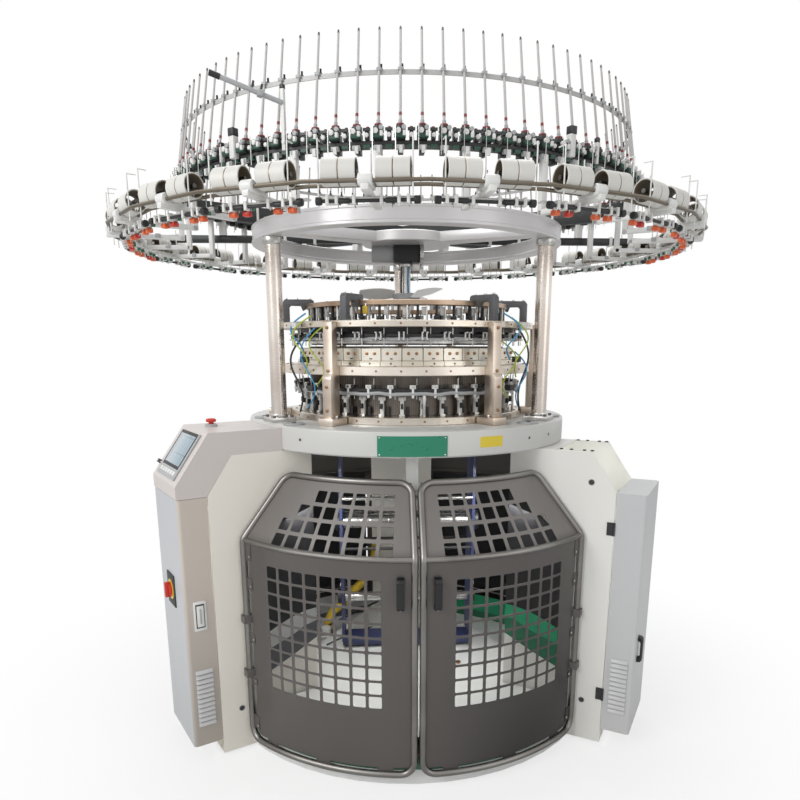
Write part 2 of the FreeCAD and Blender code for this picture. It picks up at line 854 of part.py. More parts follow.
def guard_sheets():
    """The curved front sheet and the slanted upper sheet of a front guard, with their panes."""
    radius, top_radius = S.guard_radius.value, S.guard_top_radius.value
    sheet = S.guard_sheet.value
    shoulder, top = GUARD_SHOULDER.value, GUARD_TOP.value
    sheet_low = S.guard_base.value + 26
    last = side_azimuth(radius) - 1.8
    first = GUARD_FIRST + 0.3
    pane = S.guard_pane.value
    fold = PANE_FIRST - PANE_PITCH / 2
    folds = [fold + PANE_PITCH * index for index in range(PANE_COLUMNS + 1)]
    wall = faceted_wall(radius, sheet, sheet_low, shoulder, [first, 4.8] + folds + [last])
    panes = []
    for column in range(PANE_COLUMNS):
        azimuth = PANE_FIRST + PANE_PITCH * column
        for line in range(PANE_ROWS):
            low = shoulder - 571 + 56 * line
            block = box_shape(radius - 30, -pane / 2, low, 60, pane, pane)
            panes.append(placed(block, azimuth))
    wall = wall.cut(Part.makeCompound(panes))
    tabs = []
    for low in (S.guard_base.value + 80, 480.0, shoulder - 109):
        tab = box_shape(radius - sheet, -17, low, sheet, 34, 50)
        tabs.append(placed(tab, last + 1.0))
    for azimuth in (8.0, 24.0, 40.0):
        tab = box_shape(radius - sheet - 1, -30, S.guard_base.value, sheet, 60, 30)
        tabs.append(placed(tab, azimuth))

    rise = top - shoulder
    run = radius - top_radius
    slope = math.atan2(rise, run)
    slant_folds = [fold + 4.1 * index - 2.8 for index in range(PANE_COLUMNS + 1)]
    cone = faceted_cone(
        (radius, shoulder), (top_radius, top), sheet, [first] + slant_folds + [side_azimuth(radius)]
    )
    beyond = box_shape(0, -SIDE_OFFSET.value, shoulder - 50, radius + 50, radius, rise + 100)
    cone = cone.cut(placed(beyond, 60.0))
    panes = []
    for line, count in enumerate(SLANT_ROWS):
        along = 36 + 64 * line
        centre_radius = radius - run * along / math.hypot(run, rise)
        centre_height = shoulder + rise * along / math.hypot(run, rise)
        for column in range(count):
            width = pane * centre_radius / radius
            block = box_shape(-pane / 2, -width / 2, -30, pane, width, 60)
            block.Placement = Placement(
                Vector(centre_radius, 0, centre_height),
                Rotation(Vector(0, 1, 0), math.degrees(slope)),
            )
            panes.append(placed(block, slant_folds[0] + 2.05 + 4.1 * column))
    cone = cone.cut(Part.makeCompound(panes))
    return [wall] + tabs + [cone]


def mirrored(shape):
    """A copy of a shape mirrored from the right of the machine to its left."""
    return shape.mirror(Vector(0, 0, 0), Vector(1, 0, 0))


def guard_handle():
    """A bow handle near the free edge of a front guard."""
    radius = S.guard_radius.value
    low, height, depth = GUARD_SHOULDER.value - 183, 122.0, 30.0
    outline = [
        (radius, 0, low),
        (radius + depth, 0, low + 10),
        (radius + depth, 0, low + height - 10),
        (radius, 0, low + height),
        (radius, 0, low + height - 22),
        (radius + depth - 13, 0, low + height - 26),
        (radius + depth - 13, 0, low + 26),
        (radius, 0, low + 22),
    ]
    bow = prism(outline, Vector(0, 20, 0))
    bow.translate(Vector(CLEAR, -10, 0))
    return placed(bow, 4.2)


def make_front_guards():
    """The two front guards and their handles."""
    bars = guard_frame()
    sheets = guard_sheets()
    frame = bars[0].multiFuse(bars[1:] + sheets)
    shaped("front_right_guard", frame)
    shaped("front_left_guard", mirrored(frame))
    handle = guard_handle()
    shaped("right_guard_handle", handle)
    shaped("left_guard_handle", mirrored(handle))


def make_rear_guards():
    """The fixed guards between the front legs and the rear leg."""
    radius, top_radius = S.guard_radius.value, S.guard_top_radius.value
    tube, sheet = S.guard_tube.value / 2, S.guard_sheet.value
    base, shoulder, top = S.guard_base.value, GUARD_SHOULDER.value, GUARD_TOP.value
    margin = math.degrees(math.asin(HALF_LEG.value / top_radius))
    wide = math.degrees(math.asin(HALF_LEG.value / radius))
    count = 10
    folds = [60 + wide + (120 - 2 * wide) * index / count for index in range(count + 1)]
    shapes = []
    for rail_radius, rail_height in ((radius, base), (radius, shoulder)):
        path = [outward(azimuth, rail_radius, rail_height) for azimuth in folds]
        shapes.append(bent_bar(path, tube, 4))
    path = level_path(top_radius, top, 60 + margin, 180 - margin, count)
    shapes.append(bent_bar(path, tube, 4))
    wall = faceted_wall(radius, sheet, base, shoulder, folds)
    panes = []
    for before, after in zip(folds, folds[1:]):
        block = box_shape(radius - 30, -46, base + 270, 60, 92, shoulder - base - 369)
        panes.append(placed(block, (before + after) / 2))
    shapes.append(wall.cut(Part.makeCompound(panes)))
    shapes.append(faceted_cone((radius, shoulder), (top_radius, top), sheet, folds))
    whole = shapes[0].multiFuse(shapes[1:])
    for azimuth in (60.0, 180.0):
        half = HALF_LEG.value + CLEAR
        leg = box_shape(0, -half, 0, CABINET_OUTER, 2 * half, BED_TOP)
        whole = whole.cut(placed(leg, azimuth))
    shaped("rear_right_guard", whole)
    shaped("rear_left_guard", mirrored(whole))


def make_hinges():
    """The cover hinges, and brackets on the front legs with collars round the guards' tubes."""
    solids = cover_hinges()
    face = HALF_LEG.value
    tube = S.guard_tube.value / 2
    offset = SIDE_OFFSET.value
    reach = math.sqrt(S.guard_radius.value**2 - offset**2)
    bore = (tube + CLEAR + 0.05) / math.cos(math.pi / 12)
    for side, sign in (("left", 1), ("right", -1)):
        for low in (330.0, 560.0):
            block = box_shape(reach - 19, face, low, 38, offset - face + 19, 30)
            block = block.cut(upright(bore, low, low + 30, 12, reach, offset))
            if sign < 0:
                block = block.mirror(Vector(0, 0, 0), Vector(0, 1, 0))
            solids.append(placed(block, LEG_AZIMUTHS[side]))
    shaped("hinges", Part.makeCompound(solids))


# --- Pillars and gantry ------------------------------------------------------


def make_pillars():
    """The three round pillars, each with a square foot flange and a round collar."""
    for side, azimuth in LEG_AZIMUTHS.items():
        body = new_body(f"pillar_{side}")
        shaft = (0, 0, S.pillar_diameter / 2)
        raise_pad(body, "Shaft", BED_TOP, S.pillar_length, [shaft])
        half = S.flange_width / 2
        square = [(-half, -half), (half, -half), (half, half), (-half, half)]
        raise_pad(body, "Flange", BED_TOP, S.flange_height, outlines=[square])
        collar = polygon(S.collar_diameter / 2, 24)
        low = GANTRY_BASE - S.collar_height
        raise_pad(body, "Collar", low, S.collar_height, outlines=[collar])
        angle = math.radians(azimuth)
        bind(
            body,
            Placement__Base__x=S.pillar_circle * math.sin(angle),
            Placement__Base__y=S.pillar_circle * -math.cos(angle),
        )


def make_gantry():
    """The gantry: a ring, three arms over the pillars and a hub, cast as one piece."""
    ring = flat_ring(
        "gantry_rim", S.gantry_radius, S.gantry_inner, GANTRY_BASE, S.gantry_height, ROUND_SIDES
    )
    body = DOC.addObject("PartDesign::Body", "gantry_arms")
    for side, azimuth in LEG_AZIMUTHS.items():
        corners = []
        for along, half in (
            (0, S.spider_arm * 0.7),
            (S.gantry_inner + 8, S.spider_arm / 2),
            (S.gantry_inner + 8, -S.spider_arm / 2),
            (0, S.spider_arm * -0.7),
        ):
            angle = math.radians(azimuth)
            along = as_size(along)
            x = along * math.sin(angle) + half * math.cos(angle)
            y = along * -math.cos(angle) + half * math.sin(angle)
            corners.append((x, y))
        raise_pad(body, f"Arm_{side}", HUB_BASE, S.spider_height, outlines=[corners])
    raise_pad(body, "Hub", HUB_BASE, S.spider_height, outlines=[polygon(S.spider_radius, 24)])
    whole = DOC.addObject("Part::Fuse", "gantry_ring")
    whole.Base = ring
    whole.Tool = body
    keep(whole, "gantry_ring")


def make_drive():
    """The dial's drive box under the hub, the cables beside its shaft and the main motor."""
    low = HUB_BASE.value
    case = box_shape(-56, -45, low - 72, 112, 90, 72)
    case = case.cut(upright(S.shaft_radius.value + 1, low - 72, low, 12))
    motor = rod(Vector(-56, 0, low - 36), Vector(-152, 0, low - 36), 34, 12)
    shaped("dial_drive_box", case.fuse(motor))

    top = low - 72
    foot = (DIAL_RING_TOP + 20).value
    cables = []
    for azimuth, radius in ((-150.0, 4.0), (-60.0, 4.0), (20.0, 3.0)):
        centre = outward(azimuth, S.shaft_radius.value + 1.5 + radius, foot)
        cables.append(upright(radius, foot, top, 6, centre.x, centre.y))
    shaped("drive_cables", Part.makeCompound(cables))

    high = (S.bed_base - S.leg_cover_plate).value
    centre = (S.leg_inner + S.leg_sheet + 72).value
    motor = upright(66, high - 300, high, 12, 0, centre)
    shoulder = upright_ring(80, 54, high - 44, high - 22, 12)
    shoulder.translate(Vector(0, centre, 0))
    shaped("drive_motor", motor.cut(shoulder))


# --- Knitting head -----------------------------------------------------------


def make_cylinder():
    """The needle cylinder: a tube that turns on the bed inside the cam rings."""
    height = CYLINDER_TOP - CYLINDER_BASE
    bore = S.cylinder_radius - S.cylinder_wall
    ring_part("needle_cylinder", S.cylinder_radius, bore, CYLINDER_BASE, height)


def make_rings():
    """The cam rings that stand round the cylinder."""
    ring_part("lower_cam_ring", S.ring_low_radius, S.ring_bore, BED_TOP, S.ring_low_height)
    ring_part(
        "middle_cam_ring", S.ring_mid_radius, S.ring_bore, RING_MID_BASE, S.ring_mid_height
    )
    ring_part(
        "upper_cam_ring", S.ring_top_radius, S.ring_top_bore, RING_TOP_BASE, S.ring_top_height
    )
    ring_part(
        "dial_cam_ring",
        S.dial_ring_radius,
        S.dial_ring_inner,
        DIAL_RING_BASE,
        S.dial_ring_height,
    )


def ring_of(block, count, first=0.0):
    """Copies of a block that is made at azimuth +X, spread evenly round Z."""
    return [placed(block, first + 360.0 * index / count) for index in range(count)]


def make_cam_blocks():
    """The cam plates above the middle ring, and the guide blocks round the cylinder's foot."""
    step = math.radians(180.0 / CAM_PLATES)
    inner = S.ring_bore.value + 2

    def wedge(outer, low, high):
        near, far = inner * math.tan(step) - 0.7, outer * math.tan(step) - 0.7
        corners = [(inner, -near, low), (outer, -far, low), (outer, far, low), (inner, near, low)]
        return prism(corners, Vector(0, 0, high - low))

    plate = wedge(S.cam_plate_radius.value, RING_MID_TOP.value, PLATE_TOP.value)
    shaped("cam_plates", Part.makeCompound(ring_of(plate, CAM_PLATES)))
    block = box_shape(S.ring_bore.value + 4, -14, RING_LOW_TOP, 36, 28, 84)
    shaped("guide_blocks", Part.makeCompound(ring_of(block, CAM_PLATES, 5.0)))


def make_carrier_rings():
    """The two polygonal rails that hold the yarn carriers, each on its own stays."""
    radius = S.carrier_radius.value
    low = (RING_LOW_TOP + S.carrier_rise).value
    high = (RING_TOP_BASE - S.carrier_drop).value
    for label, height, stay_low, stay_high in (
        ("lower_yarn_carriers", low, RING_LOW_TOP.value, low),
        ("upper_yarn_carriers", high, high, RING_TOP_BASE.value),
    ):
        corner = radius / math.cos(math.radians(180.0 / CARRIER_SIDES))
        path = level_path(corner, height, 0.0, 360.0, CARRIER_SIDES)[:-1]
        rail = bent_bar(path, 11.0, 4, True)
        stay = box_shape(radius - 5, -6, stay_low, 10, 12, stay_high - stay_low)
        stays = ring_of(stay, CARRIER_STAYS, 5.0)
        shaped(label, rail.multiFuse(stays))


def post_azimuths():
    """The six cam ring posts stand in pairs beside the three pillars."""
    found = []
    for azimuth in LEG_AZIMUTHS.values():
        found += [azimuth - POST_OFFSET, azimuth + POST_OFFSET]
    return sorted(found)


def make_posts():
    """The six posts, each with a foot block, a thick lower shank and a slim upper shank."""
    width = S.post_width
    radius = S.ring_top_radius
    body = DOC.addObject("PartDesign::Body", "one_post")
    foot = S.ring_low_radius + 4
    share = math.cos(math.pi / ROUND_SIDES)
    mid_flat = S.ring_mid_radius * share + S.clearance
    top_flat = S.ring_top_radius * share + S.clearance
    pad(
        body,
        "XZ_Plane",
        [
            (foot, BED_TOP),
            (radius + width + 22, BED_TOP),
            (radius + width + 22, RING_LOW_TOP),
            (foot, RING_LOW_TOP),
        ],
        width * 1.7,
        "Foot",
    )
    pad(
        body,
        "XZ_Plane",
        [
            (mid_flat, RING_LOW_TOP),
            (radius + width + 8, RING_LOW_TOP),
            (radius + width + 8, RING_MID_BASE - 4),
            (radius + width - 4, RING_MID_BASE + 10),
            (radius + width - 4, RING_TOP_TOP - 4),
            (top_flat, RING_TOP_TOP - 4),
            (top_flat, RING_MID_TOP + 6),
            (mid_flat, RING_MID_TOP),
        ],
        width,
        "Shank",
    )
    DOC.recompute()
    posts = [placed(body.Shape, azimuth) for azimuth in post_azimuths()]
    shaped("cam_ring_posts", Part.makeCompound(posts))


def make_dial_parts():
    """The turning dial, the clamp arms over it and the lint fan on its own bridge."""
    disc_radius = S.cylinder_radius - 4
    disc = upright_prism("dial_disc", disc_radius, ROUND_SIDES, DIAL_BASE, S.dial_thickness)
    hub = upright_prism("dial_boss", S.dial_hub, 16, DIAL_BASE, DIAL_RING_BASE - 30 - DIAL_BASE)
    shaft = DOC.addObject("Part::Cylinder", "dial_shaft")
    length = HUB_BASE - S.clearance - DIAL_BASE
    bind(shaft, Radius=S.shaft_radius, Height=length, Placement__Base__z=DIAL_BASE)
    dial = DOC.addObject("Part::MultiFuse", "dial")
    dial.Shapes = [disc, hub, shaft]
    keep(dial, "dial")
    ring_top, low = RING_TOP_TOP.value, DIAL_RING_BASE.value
    high = DIAL_RING_TOP.value
    outer = S.ring_top_radius.value - 14
    edge = S.dial_ring_radius.value
    arm = prism(
        [
            (outer - 30, 0, ring_top),
            (outer, 0, ring_top),
            (outer, 0, high + 22),
            (edge - 34, 0, high + 22),
            (edge - 34, 0, high),
            (edge + CLEAR, 0, high),
            (edge + CLEAR, 0, low),
            (edge + 16, 0, low - 8),
            (edge + 22, 0, high - 4),
            (outer - 30, 0, high - 4),
        ],
        Vector(0, 26, 0),
    )
    arm.translate(Vector(0, -13, 0))
    arms = [placed(arm, azimuth + 4.0) for azimuth in post_azimuths()]

    boss = upright(S.fan_hub.value, high, high + 20, 16)
    span = S.dial_ring_radius.value - 8
    bar = box_shape(-span, -18, high, 2 * span, 36, 10)
    bridge = boss.fuse(bar).cut(upright(S.shaft_radius.value + 1, high, high + 20, 12))
    shaped("dial_ring_arms", Part.makeCompound(arms + [placed(bridge, 62.0)]))

    inner = S.shaft_radius.value + 16
    base = high + 20 + CLEAR
    hub = upright(S.fan_hub.value, base, base + 30, 16)
    blades = []
    for index in range(3):
        blade = box_shape(S.fan_hub.value - 8, -48, -1.5, S.fan_radius - S.fan_hub + 8, 96, 3)
        blade.Placement = Placement(
            Vector(0, 0, base + 30), Rotation(Vector(1, 0, 0), 34.0)
        )
        blades.append(placed(blade, 35.0 + 120.0 * index))
    fan = hub.multiFuse(blades).cut(upright(inner, base - 40, base + 120, 12))
    shaped("lint_fan", fan)


# --- Take-down ---------------------------------------------------------------


def make_takedown():
    """The turning take-down: a top ring, two side plates, a foot beam and its rollers."""
    span, depth = S.takedown_span.value, S.takedown_depth.value
    plate = S.takedown_plate.value
    top = (CYLINDER_BASE + 18).value
    low = top - S.takedown_ring.value
    foot = S.takedown_foot.value
    skirt = S.bed_bore.value - 4
    bore = skirt - 60
    ring = upright_ring(skirt, bore, low, top)
    flange_edge = (S.cylinder_radius - S.cylinder_wall - 2).value
    flange = upright_ring(flange_edge, bore, CYLINDER_BASE.value, top)
    roller_height, shaft_height = S.roller_height.value, S.cloth_shaft_height.value
    roller_offset = S.roller_radius.value + 2
    shapes = []
    for sign in (-1, 1):
        x = span if sign > 0 else -span - plate
        side = box_shape(x, -depth / 2, foot + 40, plate, depth, low - foot - 40)
        for y, z in (
            (-roller_offset, roller_height),
            (roller_offset, roller_height),
            (0, shaft_height),
        ):
            hole = rod(Vector(x, y, z), Vector(x + plate, y, z), 12.9, 12)
            side = side.cut(hole)
        shapes.append(side)
    beam = box_shape(-span - plate, -50, foot, 2 * (span + plate), 100, 40)
    pin = upright(20, foot - 1 + CLEAR, foot + 20, 12)
    whole = ring.multiFuse(shapes + [flange, beam, pin])
    shaped("takedown_frame", whole)

    def spindle(label, y, z, radius):
        end = span + plate
        core = rod(Vector(-end, y, z), Vector(end, y, z), 12, 12)
        sleeve = rod(Vector(-span + 1, y, z), Vector(span - 1, y, z), radius, 16)
        shaped(label, core.fuse(sleeve))

    spindle("takedown_roller_front", -roller_offset, roller_height, S.roller_radius.value)
    spindle("takedown_roller_rear", roller_offset, roller_height, S.roller_radius.value)
    spindle("cloth_shaft", 0, shaft_height, S.cloth_shaft_radius.value)


# --- Yarn feeding rings ------------------------------------------------------


BEAM_START = 78.57
BEAM_END = -147.4


def make_beams():
    """The square beams on the gantry that carry the feeder ring."""
    side, offset, reach = S.beam_side.value, S.beam_offset.value, S.beam_reach.value
    low = GANTRY_TOP.value
    ring_base = FEEDER_RING_BASE.value
    ring_middle = (S.feeder_ring_radius.value + S.feeder_ring_inner.value) / 2
    gantry_middle = (S.gantry_radius.value + S.gantry_inner.value) / 2
    shapes = [box_shape(-reach, offset - side / 2, low, 2 * reach, side, side)]
    arm_low, arm_high = BEAM_TOP.value, ARM_TOP.value
    for sign in (-1, 1):
        start = outward(sign * BEAM_START, ring_middle + 1)
        end = outward(sign * BEAM_END, ring_middle - 1)
        direction = end - start
        arm = box_shape(0, -side / 2, arm_low, direction.Length, side, arm_high - arm_low)
        turn = Rotation(Vector(1, 0, 0), direction)
        arm.Placement = Placement(start, turn).multiply(arm.Placement)
        shapes.append(arm)
        for radius, bottom, height in (
            (gantry_middle, low, side),
            (ring_middle, arm_high, ring_base - arm_high),
        ):
            for share in crossings(start, direction, radius):
                spot = start + direction * share
                block = box_shape(-16, -16, bottom, 32, 32, height)
                block.Placement = Placement(spot, turn).multiply(block.Placement)
                shapes.append(block)
    for sign in (-1, 1):
        x = sign * math.sqrt(ring_middle**2 - offset**2)
        shapes.append(box_shape(x - 16, offset - 16, arm_low, 32, 32, ring_base - arm_low))
    whole = shapes[0].multiFuse(shapes[1:])
    shaped("support_beams", whole)


def crossings(start, direction, radius):
    """Where a line from start crosses a radius, as shares of its length."""
    a = direction.x**2 + direction.y**2
    b = 2 * (start.x * direction.x + start.y * direction.y)
    c = start.x**2 + start.y**2 - radius**2
    root = math.sqrt(b * b - 4 * a * c)
    return [share for share in ((-b - root) / (2 * a), (-b + root) / (2 * a)) if 0 <= share <= 1]


def make_feeder_ring():
    """The feeder ring with its ninety yarn feeders."""
    low = FEEDER_RING_BASE.value
    ring = upright_ring(
        S.feeder_ring_radius.value,
        S.feeder_ring_inner.value,
        low,
        low + S.feeder_ring_sheet.value,
        FEEDERS // 2,
    )
    top = (FEEDER_RING_BASE + S.feeder_ring_sheet).value
    unit = box_shape(
        S.feeder_ring_radius.value - 32, -17, top, 60, 34, S.feeder_height
    )
    shaped("feeder_ring", ring)
    shaped("yarn_feeders", Part.makeCompound(ring_of(unit, FEEDERS)))


def make_rods():
    """The yarn guide rods that lean in over the feeders, and the band that ties them."""
    step = math.radians(360.0 / FEEDERS)
    band = upright_ring(
        S.band_radius.value,
        S.band_radius.value - 4,
        BAND_BASE.value,
        BAND_TOP.value,
        FEEDERS // 2,
    )
    shaped("rod_band", band)
    radius = S.rod_radius.value
    band_top = BAND_TOP.value
    foot_radius = S.feeder_ring_radius.value - 10
    foot = FEEDER_TOP.value
    flat_radius = S.band_radius.value * math.cos(step)
    at_band = flat_radius + radius * math.cos(math.pi / 4) + CLEAR
    lean = (at_band - foot_radius) / (band_top - foot)
    top = ROD_TOP.value
    start = Vector(foot_radius, 0, foot + radius * abs(lean))
    end = Vector(foot_radius + lean * (top - foot), 0, top)
    shaped("guide_rods", Part.makeCompound(ring_of(rod(start, end, radius, 4), FEEDERS)))


def make_rail():
    """The roller rail: straight bar pairs between brackets on arms from the feeder ring."""
    radius = S.rail_radius.value
    bar_radius = S.rail_bar.value
    step = 360.0 / RAIL_MODULES
    roller_flat = S.tube_radius.value * math.cos(math.pi / 8)
    bar_flat = bar_radius * math.cos(math.pi / 4)
    spread = (roller_flat + CLEAR + bar_flat) * math.sqrt(0.5)
    bar_height = TUBE_CENTRE.value - spread
    shapes = []
    for sign in (-1, 1):
        corner = (radius + sign * spread) / math.cos(math.radians(step / 2))
        path = level_path(corner, bar_height, 0.0, 360.0, RAIL_MODULES)[:-1]
        shapes.append(bent_bar(path, bar_radius, 4, True, 0.0))
    arm_top = bar_height - bar_radius
    arm_low = arm_top - 18
    ring_base = FEEDER_RING_BASE.value
    root = S.feeder_ring_radius.value - 20
    reach = radius + 48
    arm = prism(
        [
            (root, 0, ring_base),
            (root, 0, arm_low),
            (reach, 0, arm_low),
            (reach, 0, arm_top),
            (root + 20, 0, arm_top),
            (root + 20, 0, ring_base),
        ],
        Vector(0, 24, 0),
    )
    arm.translate(Vector(0, -12, 0))
    shaped("roller_rail", Part.makeCompound(shapes))
    shaped("rail_brackets", Part.makeCompound(ring_of(arm, RAIL_MODULES, step / 2)))

    length = S.tube_length.value
    rollers = []
    for module in range(RAIL_MODULES):
        azimuth = step * (module + 0.5)
        for shift in (-S.tube_shift.value, S.tube_shift.value):
            start = Vector(radius, shift - length / 2, TUBE_CENTRE.value)
            end = Vector(radius, shift + length / 2, TUBE_CENTRE.value)
            rollers.append(placed(rod(start, end, S.tube_radius.value, 8), azimuth))
    shaped("yarn_rollers", Part.makeCompound(rollers))

    detectors = []
    half = (radius - 20) * math.tan(math.radians(step / 2)) - 2
    bar = box_shape(radius - 34, -half, arm_low - 34, 28, 2 * half, 34)
    detectors = ring_of(bar, RAIL_MODULES, step / 2)
    shaped("stop_detectors", Part.makeCompound(detectors))


def make_yarn_posts():
    """White square posts on the feeder ring, and the oblique arm on the tallest."""
    flat = S.feeder_ring_radius.value * math.cos(math.radians(360.0 / FEEDERS))
    low = FEEDER_RING_BASE.value
    shapes = []
    for azimuth, height in ((-38.0, 89.0), (30.0, 89.0), (-26.0, 183.0), (-42.0, 59.0), (38.0, 78.0)):
        off_flat = min(4.0, abs((azimuth + 2.0) % 8.0 - 4.0) + 0.5)
        ring_edge = flat / math.cos(math.radians(off_flat))
        post = box_shape(ring_edge + CLEAR, -12, low, 24, 24, height)
        shapes.append(placed(post, azimuth))
    foot = outward(-26.0, S.feeder_ring_radius + 12, low + 132)
    arm = rod(foot, foot + Vector(-215, -60, 72), 9.0, 8)
    shapes[2] = shapes[2].fuse(arm)
    shaped("yarn_posts", Part.makeCompound(shapes))


def make_all():
    make_bed()
    for side in LEG_AZIMUTHS:
        make_leg(side)
    make_pan()
    make_front_bracket()
    make_cover("left", 1)
    make_cover("right", -1)
    make_cover("rear", 1)
    make_console()
    make_stop_button()
    make_cover_fittings()
    make_front_guards()
    make_rear_guards()
    make_hinges()
    make_pillars()
    make_gantry()
    make_drive()
    make_cylinder()
    make_rings()
    make_cam_blocks()
    make_carrier_rings()
    make_posts()
    make_dial_parts()
    make_takedown()
    make_beams()
    make_feeder_ring()
    make_rods()
    make_rail()
    make_yarn_posts()


def check_document():
    """Stops if any object of the document failed, or a sub-part has no valid shape."""
    for node in DOC.Objects:
        if "Invalid" in node.State or "Error" in node.State:
            raise RuntimeError(f"{node.Label} failed: {node.State}")
    for label, node in NODES.items():
        if node.Shape.isNull() or not node.Shape.isValid() or not node.Shape.Solids:
            raise RuntimeError(f"{label} has no valid solid")


make_all()
DOC.recompute()
check_document()
os.makedirs("parts", exist_ok=True)
for label, node in NODES.items():
    node.Shape.exportStep(f"parts/{label}.step")
    solids = node.Shape.Solids
    print(f"{label}: {len(solids)} solid(s), {sum(s.Volume for s in solids) / 1e6:.3f} litres")
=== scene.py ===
# %% [markdown]
# # A circular knitting machine
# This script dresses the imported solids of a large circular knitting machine. The real machine is
# painted sheet metal below, and bright nickel, cast and plastic parts above. The lines below load
# the solids as a fixed frame, and every new piece is fitted to them.

# %% Load the frame
import math

import bmesh
import bpy
from mathutils import Matrix, Vector


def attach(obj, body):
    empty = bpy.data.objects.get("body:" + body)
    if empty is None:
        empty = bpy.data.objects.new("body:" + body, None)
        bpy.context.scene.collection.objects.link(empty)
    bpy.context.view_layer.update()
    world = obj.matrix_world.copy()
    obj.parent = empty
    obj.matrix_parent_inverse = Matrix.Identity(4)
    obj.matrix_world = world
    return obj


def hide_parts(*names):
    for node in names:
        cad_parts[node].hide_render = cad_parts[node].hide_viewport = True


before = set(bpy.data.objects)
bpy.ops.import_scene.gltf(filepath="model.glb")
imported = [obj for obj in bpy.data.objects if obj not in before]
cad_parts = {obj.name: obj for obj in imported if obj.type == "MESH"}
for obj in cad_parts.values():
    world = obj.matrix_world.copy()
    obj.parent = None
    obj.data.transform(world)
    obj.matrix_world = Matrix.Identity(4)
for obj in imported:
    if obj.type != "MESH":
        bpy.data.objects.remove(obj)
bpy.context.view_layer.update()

MM = 0.001

# %% [markdown]
# ## The camera
# The photograph was taken from a little above the bed, close to the machine, with a wide lens.
# The camera comes first, so that every later piece can be judged in the photograph's own frame.
# A low, wide lens makes the upper rings look like flat ellipses, so its place matters more than
# any one piece.

# %% Camera
CAMERA_PLACE = (-0.1577, -3.113, 1.626)
CAMERA_PITCH, CAMERA_YAW = 12.92, 2.9
LENS_LENGTH, LENS_SHIFT = 30.4, (-0.008, 0.125)

lens = bpy.data.cameras.new("photo_camera")
lens.sensor_width = 36.0
lens.lens = LENS_LENGTH
lens.shift_x, lens.shift_y = LENS_SHIFT
camera = bpy.data.objects.new("photo_camera", lens)
camera.location = CAMERA_PLACE
camera.rotation_euler = (math.radians(90 - CAMERA_PITCH), 0.0, math.radians(-CAMERA_YAW))
bpy.context.scene.collection.objects.link(camera)
bpy.context.scene.camera = camera
bpy.context.scene.view_settings.view_transform = "Standard"


# %% [markdown]
# ## Shader maths as plain expressions
# A painted or plated surface is never one flat colour. Its small changes come from noise, and the
# noise has to be scaled, added and mixed. Instead of wiring Math nodes by hand, a socket is
# wrapped in a small class, so that `0.4 + grain * 0.1` builds the nodes itself.

# %% Sockets that add up like numbers
class Amount:
    """A socket of a finish that can be used in a sum."""

    def __init__(self, finish, socket):
        self.finish = finish
        self.socket = socket

    def math(self, operation, first, second):
        return self.finish.node("ShaderNodeMath", {"operation": operation}, {0: first, 1: second})

    def __add__(self, other):
        return self.math("ADD", self, other)

    def __rsub__(self, other):
        return self.math("SUBTRACT", other, self)

    def __mul__(self, other):
        return self.math("MULTIPLY", self, other)

    __radd__ = __add__
    __rmul__ = __mul__


class Finish:
    """A material whose looks come from nodes on Object coordinates."""

    def __init__(self, name, roughness=0.5, metallic=0.0, coat=0.0):
        self.material = bpy.data.materials.new(name)
        self.material.use_nodes = True
        self.tree = self.material.node_tree
        self.shader = self.tree.nodes["Principled BSDF"]
        self.shader.inputs["Roughness"].default_value = roughness
        self.shader.inputs["Metallic"].default_value = metallic
        self.shader.inputs["Coat Weight"].default_value = coat
        self.place = self.node("ShaderNodeTexCoord", {}, {}, "Object")

    def node(self, kind, settings, inputs, out=0):
        """Adds a node: its settings first, then the values or links of its sockets."""
        made = self.tree.nodes.new(kind)
        for key, value in settings.items():
            setattr(made, key, value)
        for key, value in inputs.items():
            if isinstance(value, Amount):
                self.tree.links.new(value.socket, made.inputs[key])
            else:
                made.inputs[key].default_value = value
        return Amount(self, made.outputs[out])

    def wear(self, socket, amount):
        """Links an amount to a socket of the shader."""
        self.tree.links.new(amount.socket, self.shader.inputs[socket])

    def axis(self, name):
        """How far along X, Y or Z a point lies, in metres."""
        return self.node("ShaderNodeSeparateXYZ", {}, {0: self.place}, name)

    def noise(self, scale, detail=3.0, stretch=(1.0, 1.0, 1.0)):
        spread = self.node("ShaderNodeMapping", {}, {"Vector": self.place, "Scale": stretch})
        return self.node(
            "ShaderNodeTexNoise", {}, {"Vector": spread, "Scale": scale, "Detail": detail}
        )

    def vector(self, operation, first, second=(0.0, 0.0, 0.0)):
        """A number worked out from one or two vectors."""
        inputs = {0: first, 1: second}
        return self.node("ShaderNodeVectorMath", {"operation": operation}, inputs, "Value")

    def blend(self, factor, first, second):
        """A colour between two colours."""
        first, second = (
            color if isinstance(color, Amount) else (*color, 1.0) for color in (first, second)
        )
        return self.node(
            "ShaderNodeMix", {"data_type": "RGBA"}, {0: factor, 6: first, 7: second}, 2
        )

    def clouded(self, color, cloud, patches):
        """A colour that drifts between a darker and a lighter one."""
        darker, lighter = (
            tuple(min(1.0, channel * amount) for channel in color)
            for amount in (1 - cloud, 1 + cloud)
        )
        return self.blend(patches, darker, lighter)

    def band(self, value, low, high):
        """0 below low, 1 above high and smooth between them."""
        return self.node(
            "ShaderNodeMapRange",
            {"interpolation_type": "SMOOTHSTEP"},
            {"Value": value, "From Min": low, "From Max": high},
        )

    def relief(self, height, strength, depth):
        """Small bumps from a height."""
        bump = {"Height": height, "Strength": strength, "Distance": depth}
        self.wear("Normal", self.node("ShaderNodeBump", {}, bump))


